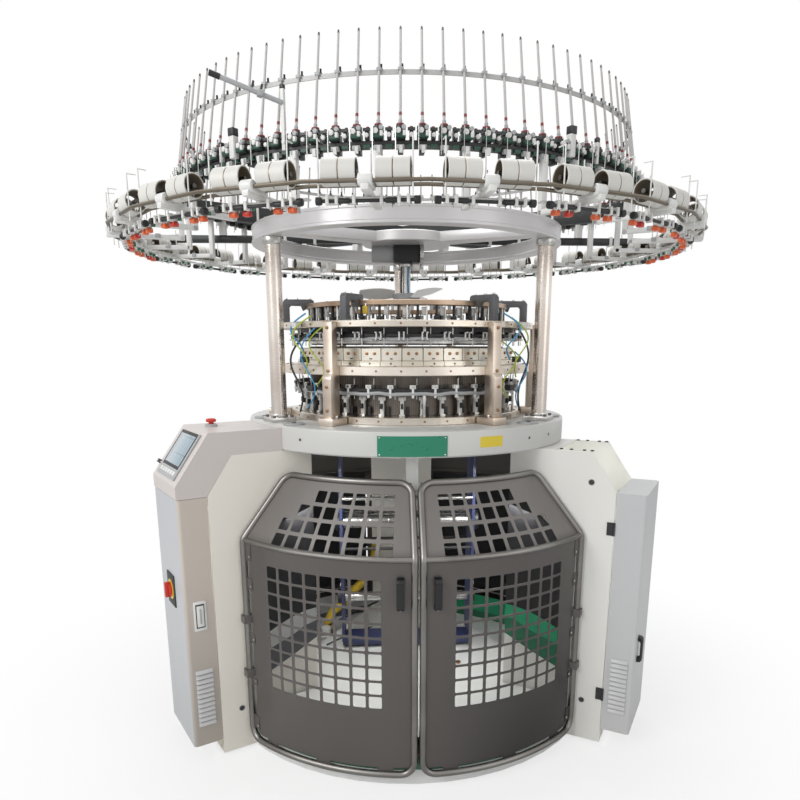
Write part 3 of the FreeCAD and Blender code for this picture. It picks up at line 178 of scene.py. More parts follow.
# %% [markdown]
# ## The finishes
# The machine wears powder-coated sheet, a dark grey coat on the guards, nickel and chrome on the
# knitting head, and plain plastics on the yarn feeding. Each family is one short function: paint
# gets a faint cloud, dust towards the floor and the skin of a powder coat, metal gets streaks that
# change its gloss, and plastic gets a fine grain.

# %% Families of finishes
SKIN_SCALE, SKIN_DEPTH = 420.0, 0.0006
DUST_COLOR = (0.42, 0.38, 0.32)


def paint(name, color, roughness=0.42, cloud=0.05, dust_and_painted_light=0.0, skin=0.06, metallic=0.0):
    """Powder coat: a faint cloud, a fine skin, and dust that gathers low down."""
    made = Finish(name, roughness, metallic, 0.12)
    patches = made.noise(2.2, 4.0)
    tone = made.clouded(color, cloud, patches)
    if dust_and_painted_light:
        low = (1.0 - made.band(made.axis("Z"), 0.0, 0.9)) * dust_and_painted_light * patches
        tone = made.blend(low, tone, DUST_COLOR)
    made.wear("Base Color", tone)
    made.wear("Roughness", roughness - 0.08 + made.noise(38.0, 2.0) * 0.16)
    made.relief(made.noise(SKIN_SCALE, 2.0), skin, SKIN_DEPTH)
    return made.material


def metal(name, color, roughness=0.3, tint=None, streak=0.22):
    """Bare or plated metal: patches of another tint, and streaks in its gloss."""
    made = Finish(name, roughness, 1.0)
    streaks = made.noise(26.0, 3.0, (1.0, 1.0, 14.0))
    second = tint or tuple(channel * 0.82 for channel in color)
    tone = made.blend(made.band(made.noise(5.0, 4.0), 0.35, 0.68), color, second)
    made.wear("Base Color", tone)
    made.wear("Roughness", roughness - streak / 2 + streaks * streak)
    made.relief(streaks, 0.05, 0.0008)
    return made.material


def plastic(name, color, roughness=0.5, cloud=0.04):
    """Moulded plastic with a fine grain."""
    made = Finish(name, roughness)
    patches = made.noise(9.0, 3.0)
    made.wear("Base Color", made.clouded(color, cloud, patches))
    made.wear("Roughness", roughness - 0.06 + patches * 0.12)
    made.relief(made.noise(260.0, 2.0), 0.08, 0.0004)
    return made.material


# %% [markdown]
# Three coats change over the machine, so each reads its own places. The guards are painted
# lighter on their slants as painted light from above, and darker low on the right as painted
# shade; the hinges are grey near the guards and black farther out; and the left cover has painted
# warm light on the side that it turns to the guards, and painted shade lower down.

# %% Coats that change from place to place, with painted light and shade
def guard_coat_and_painted_light():
    """Dark coat: slants painted lighter as painted light, and painted shade low on the right."""
    made = Finish("guard_grey", 0.40, 0.35, 0.12)
    height = made.axis("Z")
    tone = made.blend(made.noise(2.2, 4.0), (0.094, 0.085, 0.080), (0.120, 0.110, 0.104))
    # Painted shade: darker low down and towards the right, where the guard gets less light.
    painted_shade_low_right = (1.0 - made.band(height, 0.0, 1.0)) * made.band(made.axis("X"), -0.15, 0.6)
    tone = made.blend(painted_shade_low_right * 0.95, tone, (0.012, 0.009, 0.008))
    # Painted light: the slanted faces above the shoulder are painted lighter, for light from
    # above.
    dust_and_painted_light = made.band(height, 0.895, 0.935) * 0.55
    made.wear("Base Color", made.blend(dust_and_painted_light, tone, (0.25, 0.235, 0.22)))
    made.wear("Roughness", 0.32 + made.noise(38.0, 2.0) * 0.16)
    made.relief(made.noise(SKIN_SCALE, 2.0), 0.1, SKIN_DEPTH)
    return made.material


def hinge_coat():
    """Guard hinges in the guards' grey, and black hinges and catches farther out."""
    made = Finish("hinge_coat", 0.45)
    flat = made.node("ShaderNodeMapping", {}, {"Vector": made.place, "Scale": (1.0, 1.0, 0.0)})
    farther = made.band(made.vector("LENGTH", flat), 0.93, 0.94)
    made.wear("Base Color", made.blend(farther, (0.115, 0.105, 0.10), (0.022, 0.022, 0.024)))
    made.wear("Roughness", made.noise(9.0) * 0.12 + 0.4)
    return made.material


def cover_coat_and_painted_light():
    """Left cover's grey: cool outside, painted warm light beside the guards, painted shade low
    down.
    """
    made = Finish("cover_coat_and_painted_light", 0.44)
    height = made.band(made.axis("Z"), 0.1, 0.9)
    # Painted light and shade: a warm tone on the side facing the guards, darker lower down.
    painted_light_side = made.band(made.vector("DOT_PRODUCT", made.place, (0.5, -0.866, 0)), 0.150, 0.163)
    outer_tone_painted_shade = made.blend(height, (0.47, 0.485, 0.50), (0.53, 0.545, 0.565))
    side_tone_painted_warm_light = made.blend(height, (0.41, 0.37, 0.33), (0.60, 0.535, 0.475))
    made.wear("Base Color", made.blend(painted_light_side, outer_tone_painted_shade, side_tone_painted_warm_light))
    made.wear("Roughness", made.noise(7.0) * 0.1 + 0.39)
    return made.material


# %% The machine's own finishes
leg_cream = paint("leg_cream", (0.86, 0.825, 0.75), 0.45, 0.03, 0.25)
leg_white = paint("leg_white", (0.83, 0.825, 0.785), 0.45, 0.03, 0.2)
cover_left = cover_coat_and_painted_light()
cover_grey = paint("cover_grey", (0.57, 0.58, 0.585), 0.44, 0.04, 0.2)
console_grey = paint("console_grey", (0.65, 0.60, 0.575), 0.42, 0.03)
bed_grey = paint("bed_grey", (0.60, 0.60, 0.58), 0.36, 0.05)
gantry_grey = paint("gantry_grey", (0.68, 0.665, 0.67), 0.36, 0.06, metallic=0.35)
guard_grey = guard_coat_and_painted_light()
guard_rail = metal("guard_rail", (0.25, 0.24, 0.225), 0.36, (0.19, 0.18, 0.17))
pan_white = paint("pan_white", (0.80, 0.81, 0.80), 0.5, 0.06, 0.1)
tray_white = paint("tray_white", (0.86, 0.87, 0.84), 0.35, 0.06)
# Black for the sheets of painted shade behind the panes.
painted_shade_black = paint("painted_shade_black", (0.012, 0.012, 0.014), 0.6, 0.2)
inner_grey = paint("inner_grey", (0.10, 0.10, 0.11), 0.5, 0.2)
band_green = paint("band_green", (0.03, 0.36, 0.17), 0.4, 0.2)
machine_green = paint("machine_green", (0.03, 0.17, 0.09), 0.45, 0.2)
plate_green = paint("plate_green", (0.02, 0.22, 0.13), 0.30, 0.06)
sticker_yellow = paint("sticker_yellow", (0.75, 0.58, 0.04), 0.4, 0.05)
takedown_blue = paint("takedown_blue", (0.035, 0.045, 0.12), 0.5, 0.5, 0.0, 0.3)
beam_black = paint("beam_black", (0.010, 0.012, 0.012), 0.52, 0.2)
clamp_white = paint("clamp_white", (0.78, 0.78, 0.76), 0.4, 0.04)
nickel = metal("nickel", (0.74, 0.69, 0.62), 0.30, (0.62, 0.55, 0.46))
ring_nickel = metal("ring_nickel", (0.84, 0.775, 0.70), 0.38, (0.72, 0.64, 0.55))
post_metal = metal("post_metal", (0.68, 0.60, 0.52), 0.36, (0.54, 0.45, 0.37))
plate_nickel = metal("plate_nickel", (0.76, 0.72, 0.64), 0.34, (0.64, 0.58, 0.48))
pillar_chrome = metal("pillar_chrome", (0.78, 0.72, 0.66), 0.26, (0.66, 0.58, 0.52), streak=0.12)
bright_steel = metal("bright_steel", (0.62, 0.61, 0.59), 0.28)
dark_steel = metal("dark_steel", (0.16, 0.15, 0.14), 0.38)
rail_brown = metal("rail_brown", (0.22, 0.19, 0.15), 0.38)
needle_brown = metal("needle_brown", (0.26, 0.20, 0.15), 0.36, (0.14, 0.10, 0.07))
copper_brown = metal("copper_brown", (0.50, 0.38, 0.28), 0.34, (0.38, 0.27, 0.19))
brass_bolt = metal("brass_bolt", (0.34, 0.20, 0.11), 0.36)
arm_grey = paint("arm_grey", (0.115, 0.12, 0.13), 0.40, 0.15)
matt_black = plastic("matt_black", (0.016, 0.016, 0.018), 0.45)
gloss_black = plastic("gloss_black", (0.006, 0.006, 0.007), 0.22)
soft_black = plastic("soft_black", (0.035, 0.034, 0.034), 0.6)
rod_white = plastic("rod_white", (0.55, 0.53, 0.52), 0.42)
band_grey = paint("band_grey", (0.50, 0.50, 0.49), 0.4, 0.05)
clean_white = plastic("clean_white", (0.78, 0.78, 0.76), 0.42)
roller_white = plastic("roller_white", (0.70, 0.69, 0.65), 0.45, cloud=0.08)
roller_inside = plastic("roller_inside", (0.20, 0.165, 0.115), 0.55, cloud=0.3)
part_grey = plastic("part_grey", (0.42, 0.43, 0.44), 0.45)
signal_red = plastic("signal_red", (0.60, 0.035, 0.02), 0.34)
lamp_orange = plastic("lamp_orange", (0.80, 0.14, 0.04), 0.34)
feeder_green = plastic("feeder_green", (0.012, 0.065, 0.040), 0.45, cloud=0.3)
fan_white = plastic("fan_white", (0.93, 0.93, 0.92), 0.45)
dark_red = plastic("dark_red", (0.22, 0.03, 0.03), 0.4)
feeder_black = plastic("feeder_black", (0.03, 0.036, 0.034), 0.4, cloud=0.3)
cap_blue = plastic("cap_blue", (0.34, 0.52, 0.66), 0.42)
wire_blue = plastic("wire_blue", (0.05, 0.30, 0.55), 0.4)
wire_green = plastic("wire_green", (0.42, 0.52, 0.05), 0.4)
tag_yellow = plastic("tag_yellow", (0.80, 0.55, 0.06), 0.4)
print("finishes:", len(bpy.data.materials))

# %% [markdown]
# ## Tools for the shapes
# Nearly all of this machine is turned rings, sheet and small blocks that repeat round one axis. A
# few makers give those shapes, each as a bmesh in millimetres, and a `Piece` collects them with
# their finishes. Azimuth 0 is the front, and a shape that is made along +X is turned to its own
# azimuth when it is added.

# %% Places
LEG_AZIMUTHS = {"left": -60.0, "right": 60.0, "rear": 180.0}
POST_AZIMUTHS = (-147, -87, -33, 33, 87, 153)


def moved(x=0.0, y=0.0, z=0.0):
    return Matrix.Translation((x, y, z))


def turned(axis, degrees):
    return Matrix.Rotation(math.radians(degrees), 4, axis)


ALONG_X, ALONG_Y = turned("Y", 90), turned("X", -90)


def at_azimuth(azimuth, radius=0.0, height=0.0):
    """The place whose own +X points outwards at an azimuth."""
    return turned("Z", azimuth - 90.0) @ moved(radius, 0.0, height)


def outward(azimuth, radius, height=0.0):
    """The point at an azimuth, a radius and a height."""
    angle = math.radians(azimuth)
    return Vector((radius * math.sin(angle), -radius * math.cos(angle), height))


def along(start, end, axis="Z"):
    """The place whose own +Z, or another axis, runs from a start towards an end."""
    up = "Z" if axis == "X" else "Y"
    return moved(*start) @ (end - start).to_track_quat(axis, up).to_matrix().to_4x4()


def spread(count, first=0.0):
    """Evenly spaced azimuths."""
    return [first + 360.0 * index / count for index in range(count)]


# %% Makers of single shapes
def bevelled(made, parts, width, segments=2, affect="EDGES"):
    """Bevels edges or corners; a width of 0 leaves them sharp."""
    if width:
        bmesh.ops.bevel(
            made, geom=parts, offset=width, offset_type="OFFSET", segments=segments,
            profile=0.5, affect=affect, clamp_overlap=True, material=-1,
        )
    return made


def block(size, edge, low):
    """A block with bevelled edges, grown from its lowest corner."""
    made = bmesh.new()
    bmesh.ops.create_cube(made, size=1.0)
    bmesh.ops.scale(made, vec=size, verts=made.verts)
    bevelled(made, made.edges[:], edge)
    centre = [start + length / 2 for start, length in zip(low, size)]
    bmesh.ops.translate(made, vec=centre, verts=made.verts)
    return made


def upright(radius, low, high, sides=32, edge=0.0, x=0.0, y=0.0, top=None):
    """An upright round bar, or a cone, with bevelled ends."""
    made = bmesh.new()
    bmesh.ops.create_cone(
        made, cap_ends=True, segments=sides, radius1=radius,
        radius2=radius if top is None else top, depth=high - low,
    )
    rims = [e for e in made.edges if abs(e.verts[0].co.z - e.verts[1].co.z) < 0.001]
    bevelled(made, rims, edge)
    bmesh.ops.translate(made, vec=(x, y, (low + high) / 2), verts=made.verts)
    return made


def lying(radius, low, high, sides, edge, spot, way=ALONG_X):
    """A round bar that lies along +X, or another way, through a spot."""
    made = upright(radius, low, high, sides, edge)
    bmesh.ops.transform(made, matrix=moved(*spot) @ way, verts=made.verts)
    return made


def swept(made, section, degrees, steps, whole=False):
    """A section swept about Z, with its faces turned outwards."""
    bmesh.ops.spin(
        made, geom=section, cent=(0, 0, 0), axis=(0, 0, 1), angle=math.radians(degrees),
        steps=steps, use_merge=whole,
    )
    if whole:
        bmesh.ops.remove_doubles(made, verts=made.verts, dist=0.005)
    bmesh.ops.recalc_face_normals(made, faces=made.faces)
    return made


def turning(profile, steps=120, closed=True):
    """A shape turned about Z from (radius, height) points, closed on itself or at the axis."""
    made = bmesh.new()
    corners = [made.verts.new((radius, 0.0, height)) for radius, height in profile]
    ends = corners[1:] + corners[:1] if closed else corners[1:]
    edges = [made.edges.new(pair) for pair in zip(corners, ends)]
    return swept(made, corners + edges, 360.0, steps, True)


def ring(outer, bore, low, high, edge=2.0, steps=144):
    """A flat ring with chamfered edges."""
    return turning([
        (bore, low + edge), (bore + edge, low), (outer - edge, low), (outer, low + edge),
        (outer, high - edge), (outer - edge, high), (bore + edge, high), (bore, high - edge),
    ], steps)


def bent_plate(inner, outer, first, last, low, high, steps=None, edge=0.0):
    """A plate bent round Z, between two radii, two azimuths and two heights."""
    made = bmesh.new()
    section = ((inner, low), (outer, low), (outer, high), (inner, high))
    face = made.faces.new([made.verts.new(outward(first, *corner)) for corner in section])
    swept(made, [face], last - first, steps or max(3, int((last - first) / 2)))
    sharp = [e for e in made.edges if len(e.link_faces) == 2 and e.calc_face_angle() > 0.6]
    return bevelled(made, sharp, edge, 1)


def slab(outline, depth, edge=0.0):
    """A flat outline in X and Z, grown evenly to both sides along Y."""
    made = bmesh.new()
    face = made.faces.new([made.verts.new((x, -depth / 2, z)) for x, z in outline])
    grown = bmesh.ops.extrude_face_region(made, geom=[face])["geom"]
    far = [item for item in grown if isinstance(item, bmesh.types.BMVert)]
    bmesh.ops.translate(made, vec=(0, depth, 0), verts=far)
    bmesh.ops.recalc_face_normals(made, faces=made.faces)
    return bevelled(made, made.edges[:], edge)


def tube(points, radius, sides=8, closed=False):
    """A round tube along points, from a curve with a bevel."""
    curve = bpy.data.curves.new("path", "CURVE")
    curve.dimensions = "3D"
    curve.bevel_depth = radius
    curve.bevel_resolution = sides // 2 - 2
    curve.use_fill_caps = not closed
    line = curve.splines.new("POLY")
    line.points.add(len(points) - 1)
    for spot, point in zip(line.points, points):
        spot.co = (*point, 1.0)
    line.use_cyclic_u = closed
    holder = bpy.data.objects.new("path", curve)
    sheet = bpy.data.meshes.new_from_object(holder)
    made = bmesh.new()
    made.from_mesh(sheet)
    bpy.data.objects.remove(holder)
    bpy.data.curves.remove(curve)
    bpy.data.meshes.remove(sheet)
    bmesh.ops.remove_doubles(made, verts=made.verts, dist=0.005)
    bmesh.ops.recalc_face_normals(made, faces=made.faces)
    return made


# %% Pieces
SMOOTH_ANGLE = math.radians(32.0)


class Piece:
    """Shapes that move together, with the finishes they wear."""

    def __init__(self, *finishes):
        self.mesh = bmesh.new()
        self.finishes = finishes

    def add(self, shape, finish=0, place=None):
        """Copies a shape in, at a place; a finish of None keeps its own."""
        sheet = bpy.data.meshes.new("copy")
        shape.to_mesh(sheet)
        if place is not None:
            sheet.transform(place)
            if place.determinant() < 0:
                sheet.flip_normals()
        if finish is not None:
            sheet.polygons.foreach_set("material_index", [finish] * len(sheet.polygons))
        self.mesh.from_mesh(sheet)
        bpy.data.meshes.remove(sheet)
        return self

    def many(self, maker, *rows, place=None):
        """Adds shapes of one kind: each row is a finish and then the maker's own sizes."""
        for finish, *sizes in rows:
            self.add(maker(*sizes), finish, place)
        return self

    def round(self, unit, azimuths):
        """Copies another piece, made along +X, to each azimuth."""
        for azimuth in azimuths:
            self.add(unit.mesh, None, at_azimuth(azimuth))
        return self

    def mirrored(self):
        """The same shapes on the machine's other side."""
        return Piece(*self.finishes).add(self.mesh, None, Matrix.Scale(-1.0, 4, (1, 0, 0)))

    def done(self, name, body, slot=None, stands_for=()):
        """Makes the object at the origin, in metres, riding on its body."""
        bmesh.ops.scale(self.mesh, vec=(MM, MM, MM), verts=self.mesh.verts)
        sheet = bpy.data.meshes.new(name)
        self.mesh.to_mesh(sheet)
        self.mesh.free()
        for finish in self.finishes:
            sheet.materials.append(finish)
        sheet.polygons.foreach_set("use_smooth", [True] * len(sheet.polygons))
        sheet.set_sharp_from_angle(angle=SMOOTH_ANGLE)
        made = bpy.data.objects.new(name, sheet)
        bpy.context.scene.collection.objects.link(made)
        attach(made, body)
        if stands_for:
            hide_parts(*stands_for)
        print(name, "faces:", len(sheet.polygons))


# %% [markdown]
# ## The bed
# The bed is a heavy cast ring that the legs, pillars and cam rings stand on. One closed outline
# turned about the machine's axis gives the ring, with small chamfers that catch the light as a
# machined casting does. Its rim carries a bare green plate with four rivets, a small yellow
# sticker and a few sunk screws, and on its top lie round covers.

# %% Bed
BED_RADIUS, BED_BASE, BED_TOP = 700.0, 1225.0, 1322.0

bed = Piece(bed_grey, dark_steel, part_grey)
bed.add(turning([
    (335, BED_BASE + 2), (337, BED_BASE), (694, BED_BASE), (700, BED_BASE + 6),
    (700, BED_TOP - 7), (698, BED_TOP - 2), (693, BED_TOP), (337, BED_TOP), (335, BED_TOP - 2),
], 180))
screw = lying(6, 0, 1.2, 12, 0, (BED_RADIUS - 0.8, 0, 1276))
for azimuth in (-52, -38, 40, 52, 110, 180, 250):
    bed.add(screw, 1, at_azimuth(azimuth))
for azimuth in (-74, -46, 46, 74, 150, 210):
    bed.many(
        upright, (2, 42, BED_TOP, BED_TOP + 6, 32, 2), (1, 8, BED_TOP + 6, BED_TOP + 10, 6),
        place=at_azimuth(azimuth, 645),
    )
bed.done("bed", "machine", "light_paint", ["bed_plate"])

# %% Rim plate and sticker
plate = Piece(plate_green, bright_steel)
plate.add(bent_plate(BED_RADIUS, BED_RADIUS + 1.6, -11.6, 9.4, 1231, 1306))
rivet = bmesh.new()
bmesh.ops.create_uvsphere(rivet, u_segments=10, v_segments=5, radius=3.2)
bmesh.ops.scale(rivet, vec=(1, 1, 0.5), verts=rivet.verts)
for azimuth in (-10.9, 8.7):
    for height in (1237, 1300):
        plate.add(rivet, 1, at_azimuth(azimuth, BED_RADIUS + 1.6, height) @ ALONG_X)
plate.done("rim_plate", "machine")
sticker = Piece(sticker_yellow)
sticker.add(bent_plate(BED_RADIUS, BED_RADIUS + 0.8, 20.0, 28.0, 1257, 1297))
sticker.done("rim_sticker", "machine")

# %% [markdown]
# ## Legs, covers and their fittings
# Each leg is a folded sheet box with a cut corner, and a taller cabinet cover hangs on its outer
# face. Those solids already have the right flat faces, so they only take their finishes. What the
# solids leave out is added: the holes and screws, the louvres that lean out over the slots, the
# recessed latch and the rotary switch.

# %% Finishes on the solids
SOLID_FINISHES = {
    "leg_left": leg_cream, "leg_right": leg_white, "leg_rear": leg_cream,
    "left_cabinet_cover": cover_left, "right_cabinet_cover": cover_grey,
    "rear_cabinet_cover": cover_grey, "control_console": console_grey,
    "front_bracket": bed_grey, "hinges": hinge_coat(), "floor_pan": pan_white,
    "drive_motor": beam_black, "takedown_frame": takedown_blue,
}
for name, finish in SOLID_FINISHES.items():
    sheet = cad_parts[name].data
    sheet.materials.clear()
    sheet.materials.append(finish)

# %% Leg fittings
HALF_LEG = 165.0
COVER_FACE = 1100.0


def on_leg(side, radial, across, height):
    """A place on a leg or its cover: outwards, across and up."""
    return at_azimuth(LEG_AZIMUTHS[side], radial, height) @ moved(y=across)


fittings = Piece(soft_black, part_grey)
for side, front, radial, height in (
    ("left", 1, 902, 188), ("right", -1, 890, 1108), ("right", -1, 903, 186),
):
    place = on_leg(side, radial, front * HALF_LEG, height) @ turned("X", -90.0 * front)
    fittings.add(upright(11, -2, 0.6, 20), 0, place)
    fittings.add(ring(13, 10.5, 0, 1.2, 0.4, 24), 1, place)
for radial in (760, 800, 850, 880):
    for across in (-140, 140):
        fittings.add(upright(7, 0, 5, 10, 1), 0, on_leg("right", radial, across, BED_BASE))
fittings.done("leg_fittings", "machine", "black_plastic")

# %% Louvres
LOUVRE_RADIAL, LOUVRE_BASE, LOUVRE_PITCH = 1044.0, 161.0, 20.0
hood = slab([(0, 0), (0, 15), (2.5, 15), (9, 3), (8, 0)], 66, 0.6)
for side, front in (("left", 1), ("right", -1)):
    louvres = Piece(cover_grey)
    for index in range(12):
        height = LOUVRE_BASE + LOUVRE_PITCH * index
        place = on_leg(side, LOUVRE_RADIAL, front * HALF_LEG, height) @ turned("Z", 90.0 * front)
        louvres.add(hood, 0, place)
    louvres.done(f"{side}_louvres", f"{side}_cover", "grey_paint")

# %% Latch, handle and main switch
latch = Piece(clamp_white, soft_black, part_grey)
latch.many(
    block,
    (0, (4, 48, 118), 1.5, (0, -24, 0)),
    (1, (1.5, 34, 96), 0.5, (3.2, -17, 11)),
    (0, (5, 26, 84), 1.5, (3.6, -13, 17)),
    (2, (5, 7, 60), 1.5, (6, -3.5, 30)),
    place=on_leg("left", 1043.5, HALF_LEG, 560) @ turned("Z", 90),
)
latch.done("cover_latch", "left_cover", "cream_paint", ["left_cover_latch"])

handle = Piece(matt_black)
handle.add(slab([
    (0, 0), (14, 2), (20, 10), (20, 100), (14, 108), (0, 110), (0, 92), (9, 88), (11, 82),
    (11, 28), (9, 22), (0, 18),
], 26, 1.6), 0, on_leg("right", COVER_FACE, -97, 375))
handle.done("cover_handle", "right_cover", "black_plastic", ["right_cover_handle"])

switch_plate = Piece(soft_black, sticker_yellow)
place = on_leg("left", COVER_FACE, 0, 690)
switch_plate.add(block((5, 100, 130), 2.0, (0, -50, -65)), 0, place)
switch_plate.add(upright(40, 5, 6, 40), 1, place @ ALONG_X)
switch_plate.done("switch_plate", "left_cover", "black_plastic", ["main_switch_plate"])
knob = Piece(signal_red)
knob.add(upright(26, 6.3, 16, 40, 1.5), 0, place @ ALONG_X)
knob.add(block((22, 18, 60), 2.5, (7, -9, -30)), 0, place)
knob.done("switch_knob", "main_switch", "red_plastic", ["main_switch_knob"])

# %% [markdown]
# ## The console
# The operator's screen lies on the slanted face of the left leg's console. The frame is a flat
# moulding with a dark surround, and the glass sits deep in it. The glass shows soft bluish fields,
# as a running display does, made by a Brick texture that is turned to the slanted face. The stop
# button is a turned mushroom on a collar.

# %% Console
slant = Matrix.Identity(4)
slant.col[0][:3] = (0.5747, 0.0, -0.8184)
slant.col[1][:3] = (0.0, 1.0, 0.0)
slant.col[2][:3] = (0.8184, 0.0, 0.5747)
slant.col[3][:3] = (1034.0, 0.0, 1219.0)
slant_face = at_azimuth(LEG_AZIMUTHS["left"]) @ slant


def display_glass():
    """Glass over a bluish display with soft, wordless fields."""
    made = Finish("display_glass", 0.12, 0.0, 0.5)
    flat = made.node("ShaderNodeMapping", {"vector_type": "TEXTURE"}, {
        "Vector": made.place, "Location": slant_face.translation * MM,
        "Rotation": slant_face.to_euler("XYZ"),
    })
    fields = made.node("ShaderNodeTexBrick", {"offset": 0.0}, {
        "Vector": flat, "Scale": 22.0, "Mortar Size": 0.06, "Brick Width": 1.6,
        "Row Height": 0.55, "Color1": (0.30, 0.42, 0.50, 1.0), "Color2": (0.20, 0.31, 0.40, 1.0),
        "Mortar": (0.12, 0.18, 0.24, 1.0),
    })
    made.wear("Base Color", made.blend(0.35, fields, (0.34, 0.42, 0.47)))
    made.wear("Roughness", made.noise(30.0) * 0.08 + 0.1)
    return made.material


screen = Piece(part_grey, soft_black, clean_white)
screen.many(
    block,
    (0, (196, 236, 7), 3.0, (-98, -118, 0)),
    (1, (152, 212, 1.4), 0.6, (-96, -106, 6.2)),
    *((2, (16, 26, 1.6), 0.7, (66, -98 + index * 34, 6.6)) for index in range(6)),
    place=slant_face,
)
screen.done("screen_frame", "machine", "grey_plastic", ["screen_bezel"])
glass = Piece(display_glass())
glass.add(block((127.4, 189.4, 4), 0.6, (-83.7, -94.7, 4)), 0, slant_face)
glass.done("display", "machine", "screen_glass", ["touch_screen"])
stick = Piece(matt_black, bright_steel)
stick.add(block((7, 34, 6), 1.0, (54.5, -153, 0.6)), 1, slant_face)
stick.add(block((16, 30, 8.6), 2.0, (50, -183, 0.4)), 0, slant_face)
stick.done("memory_stick", "machine", "black_plastic", ["data_stick"])

# %% Stop button
stop_place = on_leg("left", 892, -40, 1313)
collar = Piece(part_grey)
collar.add(turning([(10.6, 0), (24, 0), (24, 7), (21, 10), (10.6, 10)], 40), 0, stop_place)
collar.done("stop_collar", "machine", "grey_plastic", ["stop_button_collar"])
mushroom = Piece(signal_red)
mushroom.add(turning([
    (0, 6.5), (9.8, 6.5), (9.8, 17), (18, 18), (20, 21), (20, 26), (16, 30.5), (9, 31.8), (0, 32),
], 40, False), 0, stop_place)
mushroom.done("stop_mushroom", "stop", "red_plastic", ["stop_button"])

# %% [markdown]
# ## The guards
# The two doors under the bed are bent tube with a curved, perforated sheet. The sheet starts as a
# flat grid whose lines lie on the edges of the panes. The pane corners are bevelled, the panes
# deleted, and every point is then bent on to the door's cylinder or cone, before the sheet gets
# its thickness. The tubes are curves with a round bevel.

# %% Perforated sheets
GUARD_RADIUS, GUARD_TOP_RADIUS = 885.0, 697.0
GUARD_BASE, GUARD_SHOULDER, GUARD_TOP = 60.0, 899.0, 1135.0
SHEET_RADIUS, SHEET = GUARD_RADIUS - 1.2, 2.5
SIDE_OFFSET = 183.0
DEGREE = GUARD_RADIUS * math.pi / 180.0
PANE_CORNER, SMALLEST_PANE = 4.0, 120.0


def beside_leg(radius, offset):
    """How many degrees a point beside a leg's middle line lies from that leg."""
    return math.degrees(math.asin(offset / radius))


def side_azimuth(radius):
    return 60.0 - beside_leg(radius, SIDE_OFFSET)


def perforated(columns, rows, holes, bend):
    """A grid of (azimuth, height) lines with panes taken out, bent and thickened."""
    made = bmesh.new()
    across, up = len(columns) - 1, len(rows) - 1
    bmesh.ops.create_grid(made, x_segments=across, y_segments=up, size=0.5)
    for vert in made.verts:
        column = round((vert.co.x + 0.5) * across)
        row = round((vert.co.y + 0.5) * up)
        vert.co = (columns[column] * DEGREE, rows[row], 0.0)
    spots = {
        (round(azimuth * DEGREE, 1), round(height, 1))
        for left, right, low, high in holes
        for azimuth in (left, right)
        for height in (low, high)
    }
    corners = [v for v in made.verts if (round(v.co.x, 1), round(v.co.y, 1)) in spots]
    bevelled(made, corners, PANE_CORNER, 1, "VERTICES")
    panes = []
    for face in made.faces:
        centre = face.calc_center_median()
        if face.calc_area() > SMALLEST_PANE and any(
            left * DEGREE < centre.x < right * DEGREE and low < centre.y < high
            for left, right, low, high in holes
        ):
            panes.append(face)
    bmesh.ops.delete(made, geom=panes, context="FACES")
    for vert in made.verts:
        vert.co = bend(vert.co.x / DEGREE, vert.co.y)
    bmesh.ops.recalc_face_normals(made, faces=made.faces)
    bmesh.ops.solidify(made, geom=made.faces[:], thickness=SHEET)
    return made


def lines(start, holes, end, spare):
    """Grid lines: the pane edges and middles, with spare lines before and after them."""
    found = {round(start, 4), round(end, 4)}
    for low, high in holes:
        found |= {round(low, 4), round((low + high) / 2, 4), round(high, 4)}
    ordered = sorted(found)
    extra = []
    for low, high in zip(ordered, ordered[1:]):
        pieces = int((high - low) / spare)
        extra += [low + (high - low) * (step + 1) / (pieces + 1) for step in range(pieces)]
    return sorted(ordered + extra)


# %% Bent tubes
CORNER_RADIUS, CORNER_ROOM = 52.0, 62.0


def rounded(points, radius, steps=8):
    """A path whose corners are rounded."""
    path = [points[0]]
    for before, corner, after in zip(points, points[1:], points[2:]):
        one = (before - corner).normalized()
        two = (after - corner).normalized()
        turn = math.pi - one.angle(two)
        if turn < 0.3:
            path.append(corner)
            continue
        reach = radius * math.tan(turn / 2)
        centre = corner + (one + two).normalized() * (radius / math.cos(turn / 2))
        start = corner + one * reach - centre
        axis = start.cross(corner + two * reach - centre).normalized()
        for step in range(steps + 1):
            path.append(centre + Matrix.Rotation(turn * step / steps, 3, axis) @ start)
    return path + [points[-1]]


def arc(radius, height, first, last, steps):
    return [
        outward(first + (last - first) * step / steps, radius, height)
        for step in range(steps + 1)
    ]


def edge_arc(radius, height, first, last):
    """An arc with its two corner points, and room beside them for rounded corners."""
    room = math.degrees(CORNER_ROOM / radius)
    corners = [outward(azimuth, radius, height) for azimuth in (first, last)]
    return corners[:1] + arc(radius, height, first + room, last - room, 26) + corners[1:]


# %% Front guards
HALF_PANE = 24.4 / DEGREE
WALL_COLUMNS = [(10.3 + 3.9 * k - HALF_PANE, 10.3 + 3.9 * k + HALF_PANE) for k in range(8)]
WALL_ROWS = [(327.4 + 56.0 * k, 374.6 + 56.0 * k) for k in range(9)]
SLANT_COLUMNS = [(7.6 + 4.1 * k - HALF_PANE, 7.6 + 4.1 * k + HALF_PANE) for k in range(8)]
SLANT_ROWS = [(12.0 + 64.0 * k, 61.0 + 64.0 * k) for k in range(4)]
SLANT_COUNTS = (8, 8, 7, 6)
RISE, RUN = GUARD_TOP - GUARD_SHOULDER, GUARD_RADIUS - GUARD_TOP_RADIUS
SLANT = math.hypot(RISE, RUN)
FREE_EDGE = 1.0
BEND_START, SLANT_END = 42.0, 48.0


def wall_bend(azimuth, height):
    return outward(azimuth, SHEET_RADIUS, height)


